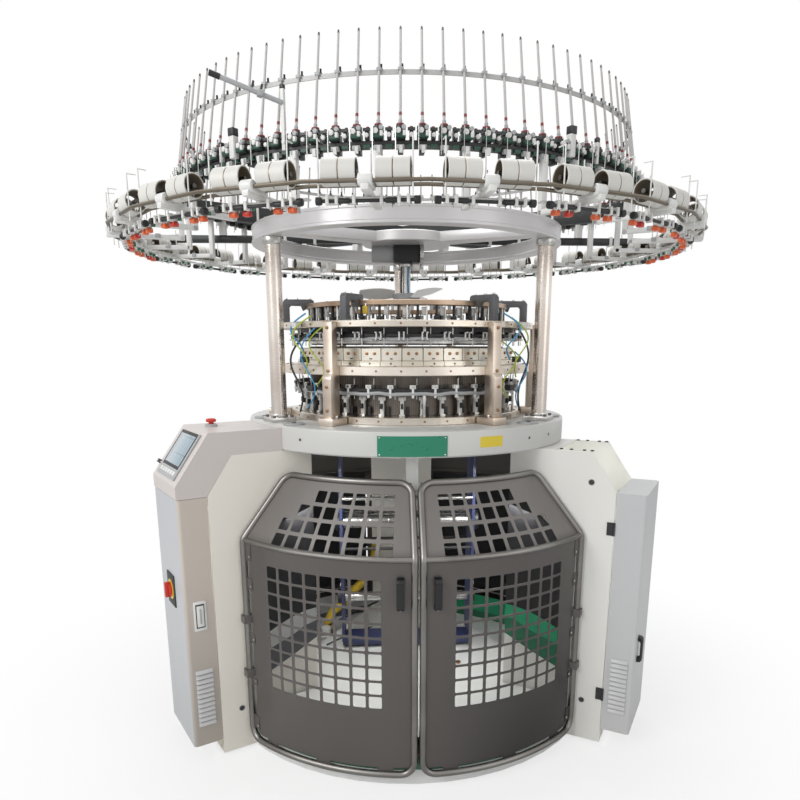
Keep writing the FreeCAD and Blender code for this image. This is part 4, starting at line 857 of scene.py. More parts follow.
def up_slant(azimuth_at, distance):
    """A point up the slant, whose azimuth follows from its radius."""
    radius = SHEET_RADIUS - RUN * distance / SLANT
    return outward(azimuth_at(radius), radius, GUARD_SHOULDER + RISE * distance / SLANT)


def slant_bend(azimuth, distance):
    """The front guard's slant, whose outer end runs along the leg."""
    share = max(0.0, (azimuth - BEND_START) / (SLANT_END - BEND_START))
    return up_slant(lambda radius: azimuth + (side_azimuth(radius) - SLANT_END) * share, distance)


def guard_shapes():
    """The sheets, tubes and tabs of the right guard, at their own finishes."""
    made = Piece(guard_grey, guard_rail, bright_steel)
    side_low, side_top = side_azimuth(GUARD_RADIUS), side_azimuth(GUARD_TOP_RADIUS)
    holes = [(*column, *row) for column in WALL_COLUMNS for row in WALL_ROWS]
    columns = lines(1.3, WALL_COLUMNS, side_low - 2.3, 2.0)
    rows = lines(86.0, WALL_ROWS, GUARD_SHOULDER, 90.0)
    made.add(perforated(columns, rows, holes, wall_bend))
    holes = [
        (*SLANT_COLUMNS[column], *row)
        for row, count in zip(SLANT_ROWS, SLANT_COUNTS) for column in range(count)
    ]
    columns = lines(1.3, SLANT_COLUMNS, SLANT_END, 2.2)
    made.add(perforated(columns, lines(0.0, SLANT_ROWS, SLANT, 60.0), holes, slant_bend))

    low_edge = edge_arc(GUARD_RADIUS, GUARD_BASE, FREE_EDGE, side_low)
    top_edge = edge_arc(GUARD_TOP_RADIUS, GUARD_TOP, GUARD_RADIUS / GUARD_TOP_RADIUS, side_top)
    middle = outward(FREE_EDGE, GUARD_RADIUS, (GUARD_BASE + GUARD_SHOULDER) / 2)
    inner = outward(FREE_EDGE, GUARD_RADIUS, GUARD_SHOULDER)
    outer = outward(side_low, GUARD_RADIUS, GUARD_SHOULDER)
    path = [middle] + low_edge + [outer] + top_edge[::-1] + [inner, middle]
    made.add(tube(rounded(path, CORNER_RADIUS)[:-1], 13.0, 12, True), 1)
    shoulder = arc(GUARD_RADIUS - 2, GUARD_SHOULDER, FREE_EDGE, side_low, 30)
    made.add(tube(shoulder, 10.0, 10), 1)
    for low, tall in ((105.0, 60.0), (300.0, 30.0), (480.0, 40.0), (700.0, 50.0), (820.0, 70.0)):
        place = at_azimuth(side_low - 2.3, GUARD_RADIUS - 3, low)
        made.add(block((4, 46, tall), 1.0, (0, -12, 0)), 0, place)
        made.add(lying(5, 0, 3, 6, 0, (5, -8, 20)), 2, place)
    for azimuth in (8.0, 24.0, 40.0):
        place = at_azimuth(azimuth, GUARD_RADIUS - 5, GUARD_BASE)
        made.add(block((3, 60, 40), 1.0, (0, -30, 0)), 0, place)
    return made


right_guard = guard_shapes()
left_guard = right_guard.mirrored()
right_guard.done("right_guard_door", "right_guard", "guard_grey", ["front_right_guard"])
left_guard.done("left_guard_door", "left_guard", "guard_grey", ["front_left_guard"])

# %% Grips
GRIP_BASE, GRIP_AZIMUTH = 716, 4.2
for side, sign in (("right", 1), ("left", -1)):
    grip = Piece(gloss_black, bright_steel)
    place = at_azimuth(GRIP_AZIMUTH * sign, GUARD_RADIUS + 0.3, GRIP_BASE)
    grip.add(slab([
        (0, 0), (6, 0), (22, 4), (29, 12), (30, 20), (30, 102), (29, 110), (22, 118), (6, 122),
        (0, 122), (0, 100), (12, 98), (17, 92), (17, 30), (12, 24), (0, 22),
    ], 27, 4.0), 0, place)
    for spot in ((12, 0, 8), (8, 0, 112)):
        grip.add(lying(5.5, 6, 9, 16, 1, spot), 1, place)
    grip.done(f"{side}_guard_grip", f"{side}_guard", "black_plastic", [f"{side}_guard_handle"])

# %% Rear guards
REAR_OFFSET = 166.0


def rear_guard():
    """The right rear guard, between the right leg and the rear leg."""
    made = Piece(guard_grey, guard_rail)
    first = 60.0 + beside_leg(GUARD_RADIUS, REAR_OFFSET)
    width = 240.0 - 2 * first
    wide = 46.0 / DEGREE
    middles = [first + width / 10.0 * (k + 0.5) for k in range(10)]
    slots = [(middle - wide, middle + wide) for middle in middles]
    levels = [(330.0 + 120 * k, 425.0 + 120 * k) for k in range(4)]
    holes = [(*slot, *level) for slot in slots for level in levels]
    columns = lines(first, slots, first + width, 3.0)
    rows = lines(GUARD_BASE, levels, GUARD_SHOULDER, 110.0)
    made.add(perforated(columns, rows, holes, wall_bend))

    def rear_bend(azimuth, distance):
        share = (azimuth - first) / width

        def azimuth_at(radius):
            near = beside_leg(radius, REAR_OFFSET) + 60.0
            return near + (240.0 - 2 * near) * share

        return up_slant(azimuth_at, distance)

    made.add(perforated(columns, lines(0.0, [], SLANT, 60.0), [], rear_bend))
    for radius, height in (
        (GUARD_RADIUS, GUARD_BASE), (GUARD_RADIUS, GUARD_SHOULDER), (GUARD_TOP_RADIUS, GUARD_TOP)
    ):
        near = beside_leg(radius, REAR_OFFSET) + 60.0
        made.add(tube(arc(radius, height, near, 240.0 - near, 40), 12.0, 10), 1)
    return made


right_rear = rear_guard()
left_rear = right_rear.mirrored()
right_rear.done("right_rear_guard", "machine", "guard_grey", ["rear_right_guard"])
left_rear.done("left_rear_guard", "machine", "guard_grey", ["rear_left_guard"])

# %% [markdown]
# ## Pillars and gantry
# Three plated pillars carry the gantry, one large ring with three arms and a hub, painted light
# grey. Round bars, collars and square feet give the pillars. The gantry's ring is a deep channel
# with a lip at its top and bottom, so its outer edge shows two bright lines, as a machined casting
# does.

# %% Pillars
PILLAR_CIRCLE = 620.0
GANTRY_BASE, GANTRY_TOP = 2035.0, 2099.0
FOOT_TOP = BED_TOP + 18

pillars = Piece(pillar_chrome, bright_steel, dark_steel)
for azimuth in LEG_AZIMUTHS.values():
    place = at_azimuth(azimuth, PILLAR_CIRCLE)
    pillars.add(block((104, 104, 18), 2.0, (-52, -52, BED_TOP)), 1, place)
    pillars.many(
        upright,
        (0, 31, BED_TOP, GANTRY_BASE, 48),
        (1, 38, GANTRY_BASE - 28, GANTRY_BASE, 48, 2),
        (1, 36, FOOT_TOP, FOOT_TOP + 12, 48, 2),
        *((2, 7, FOOT_TOP, FOOT_TOP + 8, 6, 1, x, y) for x in (-38, 38) for y in (-38, 38)),
        place=place,
    )
pillars.done("pillars", "machine", "chrome", ["pillar_left", "pillar_right", "pillar_rear"])

# %% Gantry
HUB_BASE, ARM_DEPTH, ARM_REACH = 2047.0, 40.0, 600.0
gantry = Piece(gantry_grey, dark_steel)
gantry.add(turning([
    (592, 2037), (594, 2035), (656, 2035), (658, 2037), (658, 2045), (655, 2048), (655, 2086),
    (658, 2089), (658, 2097), (656, 2099), (594, 2099), (592, 2097), (592, 2089), (595, 2086),
    (595, 2048), (592, 2045),
], 180))
# The arms are wider at the hub.
arm = slab([(150, 0), (ARM_REACH, 0), (ARM_REACH, ARM_DEPTH), (150, ARM_DEPTH)], 84, 2.0)
for vert in arm.verts:
    vert.co.y *= 1.0 + 0.4 * (1.0 - vert.co.x / ARM_REACH)
for azimuth in LEG_AZIMUTHS.values():
    gantry.add(arm, 0, at_azimuth(azimuth, 0, HUB_BASE))
    for radius in (597.6, 642.4):
        bolt = upright(9, GANTRY_TOP, GANTRY_TOP + 6, 6, 1)
        gantry.add(bolt, 1, at_azimuth(azimuth, radius))
gantry.add(ring(190, 30, HUB_BASE - 0.6, HUB_BASE + ARM_DEPTH + 0.6, 3.0, 72))
for azimuth in spread(8, 20.0):
    bolt = upright(8, HUB_BASE + ARM_DEPTH, HUB_BASE + ARM_DEPTH + 8, 6, 1)
    gantry.add(bolt, 1, at_azimuth(azimuth, 90))
gantry.done("gantry", "machine", "cast", ["gantry_ring"])

# %% Dial drive
DRIVE_BASE, CABLE_FOOT = 1975.0, 1816.0

drive = Piece(beam_black, bright_steel, part_grey)
drive.add(block((112, 90, 72), 4.0, (-56, -45, DRIVE_BASE)))
drive.many(
    lying, (2, 34, -96, 0, 32, 3, (-56, 0, 2011)), (1, 60, 0.5, 16.5, 40, 2, (56, 0, 2011))
)
drive.add(upright(28, DRIVE_BASE - 17, DRIVE_BASE, 32, 2), 1)
drive.done("dial_drive", "machine", "dark_metal", ["dial_drive_box"])
cables = Piece(soft_black, wire_blue)
for finish, azimuth, radius in ((0, -150.0, 4.0), (0, -60.0, 4.0), (1, 20.0, 3.0)):
    spots = []
    for step in range(13):
        share = step / 12.0
        bow = math.sin(math.pi * share)
        sway = 6.0 * bow * math.sin(2.0 * math.pi * share + azimuth)
        height = CABLE_FOOT + (DRIVE_BASE - CABLE_FOOT) * share
        spots.append(outward(azimuth + sway, 19.5 + radius + 3.0 * bow, height))
    cables.add(tube(spots, radius), finish)
cables.done("shaft_cables", "machine", "rubber", ["drive_cables"])

# %% [markdown]
# ## The knitting head
# Inside the pillars stands the part that knits: a turning cylinder full of needles, four nickel
# rings of cams round it, and the dial above. Every ring is one turned outline. The needles are a
# few hundred slim bars, because a bump alone would leave the cylinder's edge smooth.

# %% Needle cylinder
cylinder = Piece(dark_steel, needle_brown)
cylinder.add(turning([
    (400, 1323), (401, 1322.5), (428, 1322.5), (428, 1618), (426, 1620), (402, 1620), (400, 1618),
], 160))
needle = Piece(needle_brown)
needle.add(block((5, 2.0, 262), 0, (425, -1.0, 1356)), 1)
cylinder.round(needle, spread(300, 0.4))
cylinder.done("cylinder", "rotor", "steel", ["needle_cylinder"])

# %% Cam rings
LOW_RING_TOP, MIDDLE_RING_TOP, UPPER_RING_TOP, DIAL_RING_TOP = 1352, 1547, 1717, 1796
RINGS = (
    ("lower_ring", "lower_cam_ring", nickel, "nickel", 515, 436, BED_TOP, LOW_RING_TOP),
    ("middle_ring", "middle_cam_ring", ring_nickel, "nickel", 546, 436, 1512, MIDDLE_RING_TOP),
    ("upper_ring", "upper_cam_ring", nickel, "nickel", 556, 480, 1692, UPPER_RING_TOP),
    ("dial_ring", "dial_cam_ring", copper_brown, "bronze", 440, 372, 1776, DIAL_RING_TOP),
)
for name, node, finish, slot, outer, bore, low, high in RINGS:
    made = Piece(finish, brass_bolt, dark_steel)
    made.add(ring(outer, bore + 0.6, low, high, 2.2, 160))
    if high - low > 24:
        head = lying(4.5, 0, 1.4, 8, 0, (outer - 0.5, 0, (low + high) / 2))
        for azimuth in spread(36, 5.0):
            made.add(head, 1, at_azimuth(azimuth))
    bolt = upright(5, high, high + 2.5, 8)
    for azimuth in spread(24, 7.5):
        made.add(bolt, 2, at_azimuth(azimuth, outer - 18))
    made.done(name, "machine", slot, [node])

# %% [markdown]
# The thirty-six cam plates stand on the middle ring, edge to edge. Each is a curved, bevelled
# plate with a thin step under it and two sunk bolts, and a narrow gap shows between neighbours.

# %% Cam plates
HEAD_UNITS = 36


def ring_of(unit, first=0.0):
    """A piece of thirty-six units round the head."""
    return Piece(*unit.finishes).round(unit, spread(HEAD_UNITS, first))


cam_plate = Piece(plate_nickel, brass_bolt, dark_steel)
for outer, half, low, high, edge in (
    (482, 4.93, MIDDLE_RING_TOP, 1566, 1.0), (470, 4.86, 1566, 1614, 1.6)
):
    cam_plate.add(bent_plate(438, outer, 90 - half, 90 + half, low, high, 3, edge))
for turn in (-1.9, 1.9):
    cam_plate.add(lying(6.5, 0, 3.5, 10, 1, (469.4, 0, 1594)), 1, turned("Z", turn))
cam_plate.add(lying(4, 0, 2, 8, 0, (481.4, 0, 1556)), 2)
cam_plate.add(block((4, 10, 5), 0.8, (469.4, -5, 1572)), 2)
ring_of(cam_plate).done("cam_plate_ring", "machine", "nickel", ["cam_plates"])

# %% [markdown]
# Low on the cylinder stands a ring of white guide blocks with dark slots between them, and at the
# upper and lower openings run two rails of yarn carriers. These are the lace of the machine: small
# white T and C shapes, each with a black clamp and an eye. One unit of each is modelled and then
# copied round.

# %% Guide blocks and lower carriers
guide = Piece(clean_white, matt_black, bright_steel)
guide.many(
    block,
    (2, (26, 22, 8), 1.0, (441, -11, LOW_RING_TOP)),
    (0, (15, 15, 60), 2.0, (447, -7.5, 1358)),
    (0, (11, 30, 15), 2.0, (452, -15, 1414)),
    (1, (8, 14, 34), 1.0, (440.5, 14, 1354)),
    (1, (24, 9, 20), 1.5, (452, -4.5, 1382)),
)
guide.add(lying(3.5, 0, 3, 8, 0, (463, 0, 1422)), 2)
ring_of(guide, 5.0).done("guide_block_ring", "machine", "steel", ["guide_blocks"])

carrier = Piece(matt_black, clean_white, bright_steel)
carrier.many(
    block,
    (1, (17, 24, 15), 2.0, (484, -12, 1461)),
    (1, (9, 9, 44), 1.5, (494, -4.5, 1426)),
    (0, (36, 7, 7), 1.0, (452, 8, 1466)),
    (0, (13, 13, 13), 1.5, (489, 14, 1462)),
)
carrier.add(upright(2.2, 1420, 1500, 6, x=481, y=16), 2)
carrier.add(lying(5, 0, 4, 10, 0, (501, 0, 1468)), 2)
lower = ring_of(carrier)
lower.add(ring(500, 485, 1450, 1462, 1.5, 108))
for azimuth in spread(6, 5.0):
    lower.add(block((9, 11, 100), 1.0, (487.5, -5.5, LOW_RING_TOP)), 2, at_azimuth(azimuth))
lower.done("lower_carrier_ring", "machine", "white_plastic", ["lower_yarn_carriers"])

# %% Upper carriers
clip = Piece(matt_black, clean_white, bright_steel)
claw = slab([(0, 0), (20, 0), (20, 5), (6, 5), (6, 25), (20, 25), (20, 30), (0, 30)], 6, 0.8)
for side in (-1, 1):
    clip.add(claw, 1, moved(497, side * 9, 1645))
clip.many(
    block,
    (0, (14, 30, 10), 1.5, (486, -15, 1666)),
    (2, (30, 5, 5), 0.8, (457, -2.5, 1650)),
    (0, (10, 12, 14), 1.5, (500, 16, 1652)),
)
clip.add(upright(2.0, 1622, 1690, 6, x=505, y=22), 2)
upper = ring_of(clip, 5.0)
upper.add(ring(500, 484, 1656, 1668, 1.5, 108))
for azimuth in spread(6, 5.0):
    upper.add(block((9, 11, 34), 1.0, (487.5, -5.5, 1660)), 2, at_azimuth(azimuth))
upper.done("upper_carrier_ring", "machine", "white_plastic", ["upper_yarn_carriers"])

# %% [markdown]
# Six machined posts stand in pairs beside the pillars and hold the rings at their heights. Above
# them, dark cast arms reach in to the dial's own cam ring, and a slim bridge carries the fan that
# blows lint off the needles.

# %% Posts
posts = Piece(post_metal, brass_bolt, bright_steel)
shank = slab([
    (546.5, 1352), (604, 1352), (604, 1500), (602, 1508), (592, 1522), (592, 1708), (588, 1713),
    (556.5, 1713), (556.5, 1555), (546.5, 1545),
], 40, 1.8)
for azimuth in POST_AZIMUTHS:
    place = at_azimuth(azimuth)
    posts.add(block((99, 68, 30), 2.5, (519, -34, BED_TOP)), 0, place)
    posts.add(shank, 0, place)
    for height, face in ((1380, 603.5), (1470, 603.5), (1530, 591.5), (1690, 591.5)):
        posts.add(lying(6.5, 0, 5, 10, 1, (face, 0, height)), 1, place)
    for y in (-24, 24):
        posts.add(upright(7, LOW_RING_TOP, LOW_RING_TOP + 9, 6, 1, 580, y), 2, place)
posts.done("ring_posts", "machine", "nickel", ["cam_ring_posts"])

# %% Dial
dial = Piece(bright_steel, needle_brown)
dial.add(turning([
    (0, 1626), (420, 1626), (426, 1632), (426, 1642), (412, 1648), (250, 1648), (240, 1656),
    (120, 1656), (110, 1664), (64, 1664), (62, 1666), (62, 1742), (58, 1746), (18, 1746),
    (18, 2046.5), (0, 2046.5),
], 120, False))
rib = Piece(needle_brown)
rib.add(block((120, 2.0, 4), 0, (300, -1.0, 1647)), 1)
dial.round(rib, spread(180, 0.7))
dial.done("dial_disc", "dial_body", "steel", ["dial"])

# %% Arms of the dial's cam ring
TAG_PLACE = at_azimuth(-24)
arms = Piece(arm_grey, bright_steel, copper_brown, tag_yellow)
arm = slab([
    (512, 1717.2), (542, 1717.2), (542, 1804), (532, 1817), (418, 1818), (408, 1812),
    (406, 1796.2), (440.5, 1796.2), (440.5, 1777), (455, 1769), (464, 1790), (505, 1791),
    (512, 1784),
], 26, 2.0)
for azimuth in POST_AZIMUTHS:
    place = at_azimuth(azimuth + 4.0)
    arms.add(arm, 0, place)
    for x in (425, 480, 525):
        arms.add(upright(6.5, 1816, 1823, 6, 1, x), 1, place)
bridge = at_azimuth(62.0)
arms.add(block((864, 36, 10), 1.5, (-432, -18, 1796.2)), 0, bridge)
arms.add(ring(60, 20, 1796.4, 1816, 2.0, 48), 2, bridge)
arms.add(block((4, 22, 30), 1.5, (441, -11, 1744)), 3, TAG_PLACE)
arms.add(block((5, 8, 40), 1.0, (437, -4, 1742)), 1, TAG_PLACE)
arms.done("dial_arms", "machine", "dark_metal", ["dial_ring_arms"])

# %% Row of holders under the dial's cam ring
row = Piece(matt_black, clean_white, bright_steel, part_grey)
row.many(
    block,
    (0, (12, 9, 54), 1.5, (420, -4.5, 1722)),
    (0, (20, 18, 14), 1.5, (414, -9, 1722)),
    (1, (10, 20, 32), 1.5, (412, 16, 1738)),
    (3, (8, 12, 20), 1.0, (424, -28, 1756)),
)
row.add(upright(3, 1722, 1776, 8, x=430, y=34), 2)
dial_row = ring_of(row, 3.0)
dial_row.add(ring(480, 474, 1644, 1700, 1.0, 120))
dial_row.done("dial_cam_row", "machine", "dark_metal")

# %% Lint fan
BLADE_ROOT, BLADE_LENGTH, BLADE_LEVEL = 54.0, 156.0, 1846.0
fan = Piece(part_grey, fan_white)
fan.add(turning([(34, 1816.5), (60, 1816.5), (60, 1842), (54, 1846.5), (34, 1846.5)], 40))
blade = bmesh.new()
bmesh.ops.create_grid(blade, x_segments=8, y_segments=6, size=0.5)
for vert in blade.verts:
    share = vert.co.x + 0.5
    y = vert.co.y * (52 + 42 * math.sin(math.pi * min(1.0, share * 0.85)))
    pitch = math.radians(40 - 14 * share)
    vert.co = (
        BLADE_ROOT + BLADE_LENGTH * share - 0.0022 * y * y, y * math.cos(pitch),
        BLADE_LEVEL + y * math.sin(pitch) * 0.8,
    )
bmesh.ops.solidify(blade, geom=blade.faces[:], thickness=2.5)
for azimuth in (35.0, 155.0, 275.0):
    fan.add(blade, 1, at_azimuth(azimuth))
fan.done("fan_rotor", "fan", "grey_plastic", ["lint_fan"])

# %% [markdown]
# Wires hang in bows beside the posts, and two grey conduits sway round behind the carriers. Each
# is a curve with a round bevel, and each wire is one row of a table: its finish, its azimuth and
# radius, its two heights, how far it swings out, and its thickness.

# %% Harness of the head
WIRES = (
    (0, -54, 588, 1745, 1560, 60, 3.2), (1, -50, 594, 1735, 1515, 85, 3.0),
    (1, -43, 590, 1700, 1470, 50, 2.6), (0, -47, 604, 1690, 1380, 40, 2.6),
    (2, -56, 585, 1660, 1360, 55, 4.0), (0, 46, 588, 1745, 1570, 70, 3.2),
    (1, 50, 596, 1730, 1500, 80, 3.0), (1, 44, 600, 1640, 1420, 45, 2.8),
    (0, 54, 590, 1600, 1380, 50, 2.8), (2, 57, 586, 1690, 1360, 45, 4.0),
)
harness = Piece(wire_blue, wire_green, soft_black, clean_white, part_grey)
for radius, height, width in ((497, 1442, 7.5), (493, 1650, 6.5)):
    conduit = [
        outward(3 * step, radius, height + 4 * math.sin(1.3 * step) * math.sin(0.37 * step))
        for step in range(120)
    ]
    harness.add(tube(conduit, width, 8, True), 4)
for finish, azimuth, radius, top, low, swing, width in WIRES:
    sign = -1 if azimuth < 0 else 1
    points = []
    for step in range(21):
        share = step / 20.0
        bow = 0.6 * swing * math.sin(math.pi * share)
        turn = sign * (-7.0 * (1 - share) + 5.0 * math.sin(2 * math.pi * share))
        height = top + (low - top) * share
        points.append(outward(azimuth + turn, radius - 26 + bow - 14 * share, height))
    harness.add(tube(points, width, 6), finish)
for side in (-1, 1):
    for azimuth, height, finish in ((47, 1560, 2), (52, 1690, 3), (43, 1450, 2)):
        clamp = block((26, 30, 22), 2.0, (560, -15, height))
        harness.add(clamp, finish, at_azimuth(azimuth * side))
harness.done("head_harness", "machine", "rubber")

# %% [markdown]
# ## The take-down
# Behind the guards the take-down turns with the cylinder: two speckled blue side plates, a pair
# of rollers that pull the cloth, and a shaft that winds it up. The rollers are remade with their
# grip grooves, and the side plates get their bearings, bolts and two pairs of guide rods.

# %% Take-down rollers
ROLLERS_AT, WINDER_AT = 820, 430
PLATE_FACE = 312


def grooved(radius, half, grooves):
    """A level roller along X with a groove every so often."""
    profile = [(0, -half - 12), (12, -half - 12), (12, -half + 1), (radius - 2, -half + 1)]
    pitch = 2 * (half - 1) / grooves
    for index in range(grooves):
        start = -half + 1 + pitch * index
        profile += [(radius, start + 2), (radius, start + pitch - 3), (radius - 2, start + pitch)]
    profile += [(12, half - 1), (12, half + 12), (0, half + 12)]
    return turning(profile, 32, False)


for name, node, body, y, z, radius in (
    ("front_roller", "takedown_roller_front", "front_take_down_roller", -34, ROLLERS_AT, 32),
    ("rear_roller", "takedown_roller_rear", "rear_take_down_roller", 34, ROLLERS_AT, 32),
    ("winding_shaft", "cloth_shaft", "cloth_winder", 0, WINDER_AT, 24),
):
    roller = Piece(bright_steel)
    roller.add(grooved(radius, 300, 14), 0, moved(0, y, z) @ ALONG_X)
    roller.done(name, body, "steel", [node])

# %% Take-down trim
trim = Piece(soft_black, bright_steel, matt_black)
for side in (-1, 1):
    for finish, radius, depth, sides, edge, y, z in (
        (1, 9, 6, 6, 1, -70, 520), (1, 9, 6, 6, 1, -70, 640), (1, 9, 6, 6, 1, -70, 1010),
        (2, 44, 22, 40, 2, -34, ROLLERS_AT), (0, 30, 20, 40, 2, 0, WINDER_AT),
    ):
        way = turned("Y", 90 * side)
        trim.add(lying(radius, 0, depth, sides, edge, (side * PLATE_FACE, y, z), way), finish)
    trim.add(block((12, 30, 560), 2, (side * 318 - 6, 45, 420)))
for y in (-88, 88):
    trim.many(lying, (1, 9, -300, 300, 12, 0, (0, y, 940)), (0, 7, -300, 300, 12, 0, (0, y, 700)))
trim.done("takedown_trim", "rotor", "dark_metal")

# %% [markdown]
# ## Behind the panes
# Through the panes one sees a pale tray on the floor pan, a yellow pipe, and dark linings with a
# light band low down, green on the right and grey on the left. Above the band the linings are
# black sheets of painted shade, which stand for the dark inside of the machine. The tray is a
# flat plate cut to the three legs, the linings are plates bent round the axis or laid on the legs,
# and the pipe and the cables are curves with a round bevel.

# %% Floor pan
pan = Piece(machine_green)
for first, last, low in ((-47.5, 47.5, 66), (73.5, 166.5, 20), (193.5, 286.5, 20)):
    pan.add(bent_plate(862.6, 864.2, first, last, low, 122))
pan.done("pan_rim_band", "machine")

# %% Tray
TRAY_TOP, TRAY_FRONT, CABLE_LEVEL = 186.0, 835.0, 190.0
# The plate's corners at the inner ends of the three legs, from the right leg round to the left.
TRAY_CORNERS = [(399, -429), (539, -187), (131, 558), (-131, 558), (-539, -187), (-399, -429)]
tray = Piece(tray_white, bright_steel, brass_bolt, soft_black, tag_yellow)
front_edge = [outward(azimuth, TRAY_FRONT) for azimuth in range(-48, 49, 4)]
outline = [(spot.x, spot.y) for spot in front_edge] + TRAY_CORNERS
tray.add(slab(outline, 6, 1.0), 0, moved(z=TRAY_TOP - 3) @ ALONG_Y)
tray.many(
    upright,
    (0, 50, TRAY_TOP - 6, TRAY_TOP, 40, 1, -405, 130),
    (1, 42, TRAY_TOP, TRAY_TOP + 6, 40, 1, -405, 130),
    (0, 25, TRAY_TOP, TRAY_TOP + 34, 32, 3, -405, 130),
    (2, 13, TRAY_TOP, TRAY_TOP + 8, 6, 1, 228, -235),
)
for radius, cable in (
    (5, ((-752, -246), (-499, 81), (-342, 290), (-126, 559))),
    (3.5, ((-392, -20), (-364, 15), (-302, 83), (-171, 189))),
):
    tray.add(tube([(x, y, CABLE_LEVEL) for x, y in cable], radius, 6), 3)
tray.add(tube([
    (-418, 402, 40), (-412, 405, 140), (-385, 420, 190), (-352, 440, 205), (-321, 450, 230),
    (-281, 450, 285), (-224, 450, 343), (-180, 455, 400), (-158, 470, 460), (-150, 510, 500),
    (-150, 562, 510),
], 23, 14), 4)
tray.done("pan_tray", "machine", "grey_plastic")

# %% Linings
# Lines across a leg's inner side, from its inner end out to its folded edge.
BAND_HIGH = [(561, 550), (604, 548), (670, 533), (736, 508), (801, 476), (838, 456)]
BAND_LOW = [(561, 494), (615, 482), (673, 452), (736, 430), (803, 405), (838, 390)]
# The black sheets, behind each rear guard and on each leg's inner side, are painted shade.
inside = Piece(painted_shade_black, machine_green, band_green, inner_grey, band_grey, bright_steel)
for side, dark, light in ((1, 1, 2), (-1, 3, 4)):
    ends = sorted((74.0 * side, 166.5 * side))
    for finish, radius, low, high in (
        (0, 866, 215, 884), (light, 846, 56, 156), (dark, 847, 12, 56)
    ):
        inside.add(bent_plate(radius, radius + 3, *ends, low, high), finish)
    inside.add(tube(arc(842, 196, *ends, 30), 5), 5)
    for finish, outline in (
        (0, BAND_HIGH + [(838, 820), (760, 893), (561, 1084)]),
        (light, BAND_LOW + BAND_HIGH[::-1]),
        (dark, [(561, 419), (677, 361), (800, 308), (838, 296)] + BAND_LOW[::-1]),
    ):
        inside.add(slab(outline, 3), finish, at_azimuth(60.0 * side) @ moved(y=-167.6 * side))
inside.done("inner_linings_and_painted_shade", "machine", "dark_metal")

# %% [markdown]
# ## The yarn feeding rings
# Ninety yarns come down to the machine. Over the gantry lie square black beams with blue caps,
# and on them stand three rings: the feeder ring with ninety feeders, the rods that guide each
# yarn, tied by a light band, and outside them the rail with its wide white rollers.

# %% Beams
RING_BASE, RING_TOP = 2203.0, 2215.0
BEAM_BASE, BEAM_TOP, BEAM_OFFSET = 2099.0, 2131.0, 327.0
PILLAR_BLOCKS, RING_BLOCKS = 625.0, 912.5
beams = Piece(beam_black, clamp_white, cap_blue)
beams.add(block((2500, 32, 32), 2.0, (-1250, BEAM_OFFSET - 16, BEAM_BASE)))
for side in (-1, 1):
    cap = (side * 1252.5 - 2.5, BEAM_OFFSET - 17, BEAM_BASE - 1)
    x = side * math.sqrt(RING_BLOCKS**2 - BEAM_OFFSET**2)
    beams.many(
        block,
        (2, (5, 34, 34), 1.5, cap),
        (1, (32, 32, 72), 2.0, (x - 16, BEAM_OFFSET - 16, BEAM_TOP)),
        *(
            (1, (14, 42, 42), 2.0, (side * reach - 7, BEAM_OFFSET - 21, BEAM_BASE - 5))
            for reach in (420, 560, 1010)
        ),
    )
for side in (-1, 1):
    start, end = outward(side * 78.57, 913.5), outward(side * -147.4, 911.5)
    length = (end - start).length
    place = along(start, end, "X")
    beams.many(
        block,
        (0, (length - 6, 32, 64), 2.0, (3, -16, BEAM_TOP)),
        (2, (7, 34, 66), 1.5, (-2, -17, BEAM_TOP - 1)),
        (2, (7, 34, 66), 1.5, (length - 5, -17, BEAM_TOP - 1)),
        place=place,
    )
    # A clamp stands wherever the beam crosses the circle of the gantry or of the feeder ring.
    middle = start.dot((end - start).normalized())
    for radius, low, high in (
        (PILLAR_BLOCKS, BEAM_BASE, BEAM_TOP), (RING_BLOCKS, BEAM_TOP + 64, RING_BASE)
    ):
        root = math.sqrt(middle * middle - start.length_squared + radius * radius)
        for share in (-middle - root, -middle + root):
            if 0 <= share <= length:
                beams.add(block((34, 46, high - low), 2.0, (share - 17, -23, low)), 1, place)
                beams.add(block((10, 42, 70), 2.0, (share - 26, -21, BEAM_TOP - 3)), 1, place)
beams.done("beams", "machine", "dark_metal", ["support_beams"])

# %% Feeder ring and feeders
FEEDERS = 90
feeder_plate = Piece(matt_black)
feeder_plate.add(ring(940, 885.2, RING_BASE, RING_TOP, 1.5, 180))
feeder_plate.done("feeder_plate", "machine", "dark_metal", ["feeder_ring"])

feeder = Piece(feeder_black, feeder_green, dark_red, part_grey, clean_white, bright_steel)
feeder.many(
    block,
    (0, (40, 30, 22), 2.5, (910, -15, RING_TOP)),
    (1, (10, 34, 12), 1.5, (950, -17, RING_TOP + 2)),
    (0, (24, 32, 6), 0, (924, -16, RING_TOP + 24)),
    (4, (12, 9, 14), 1.2, (955, 8, RING_TOP + 6)),
    (0, (30, 16, 18), 1.5, (892, -8, RING_BASE - 19)),
    (3, (16, 24, 12), 1.2, (930, -12, RING_BASE - 13)),
    (4, (8, 10, 20), 0, (944, -3, RING_BASE - 24)),
)
feeder.many(
    upright,
    (3, 15, 22, 30, 14, 1, 930),
    (0, 16, 31, 40, 14, 1.5, 930),
    (2, 12, 41, 47, 14, 1.5, 930),
    (5, 1.4, -45, 36, 5, 0, 967, -13),
    place=moved(z=RING_TOP),
)
feeder.many(
    lying,
    (4, 8, 0, 12, 12, 1.5, (952, -5, RING_TOP + 21)),
    (3, 6.5, 0, 10, 12, 0, (952, 11, RING_TOP + 30)),
)
between = Piece(*feeder.finishes)
between.many(
    block,
    (0, (30, 12, 30), 1.5, (916, -6, RING_TOP)),
    (0, (6, 22, 8), 0, (944, -11, RING_TOP + 24)),
    (1, (14, 20, 8), 0, (934, -10, RING_BASE - 9)),
)
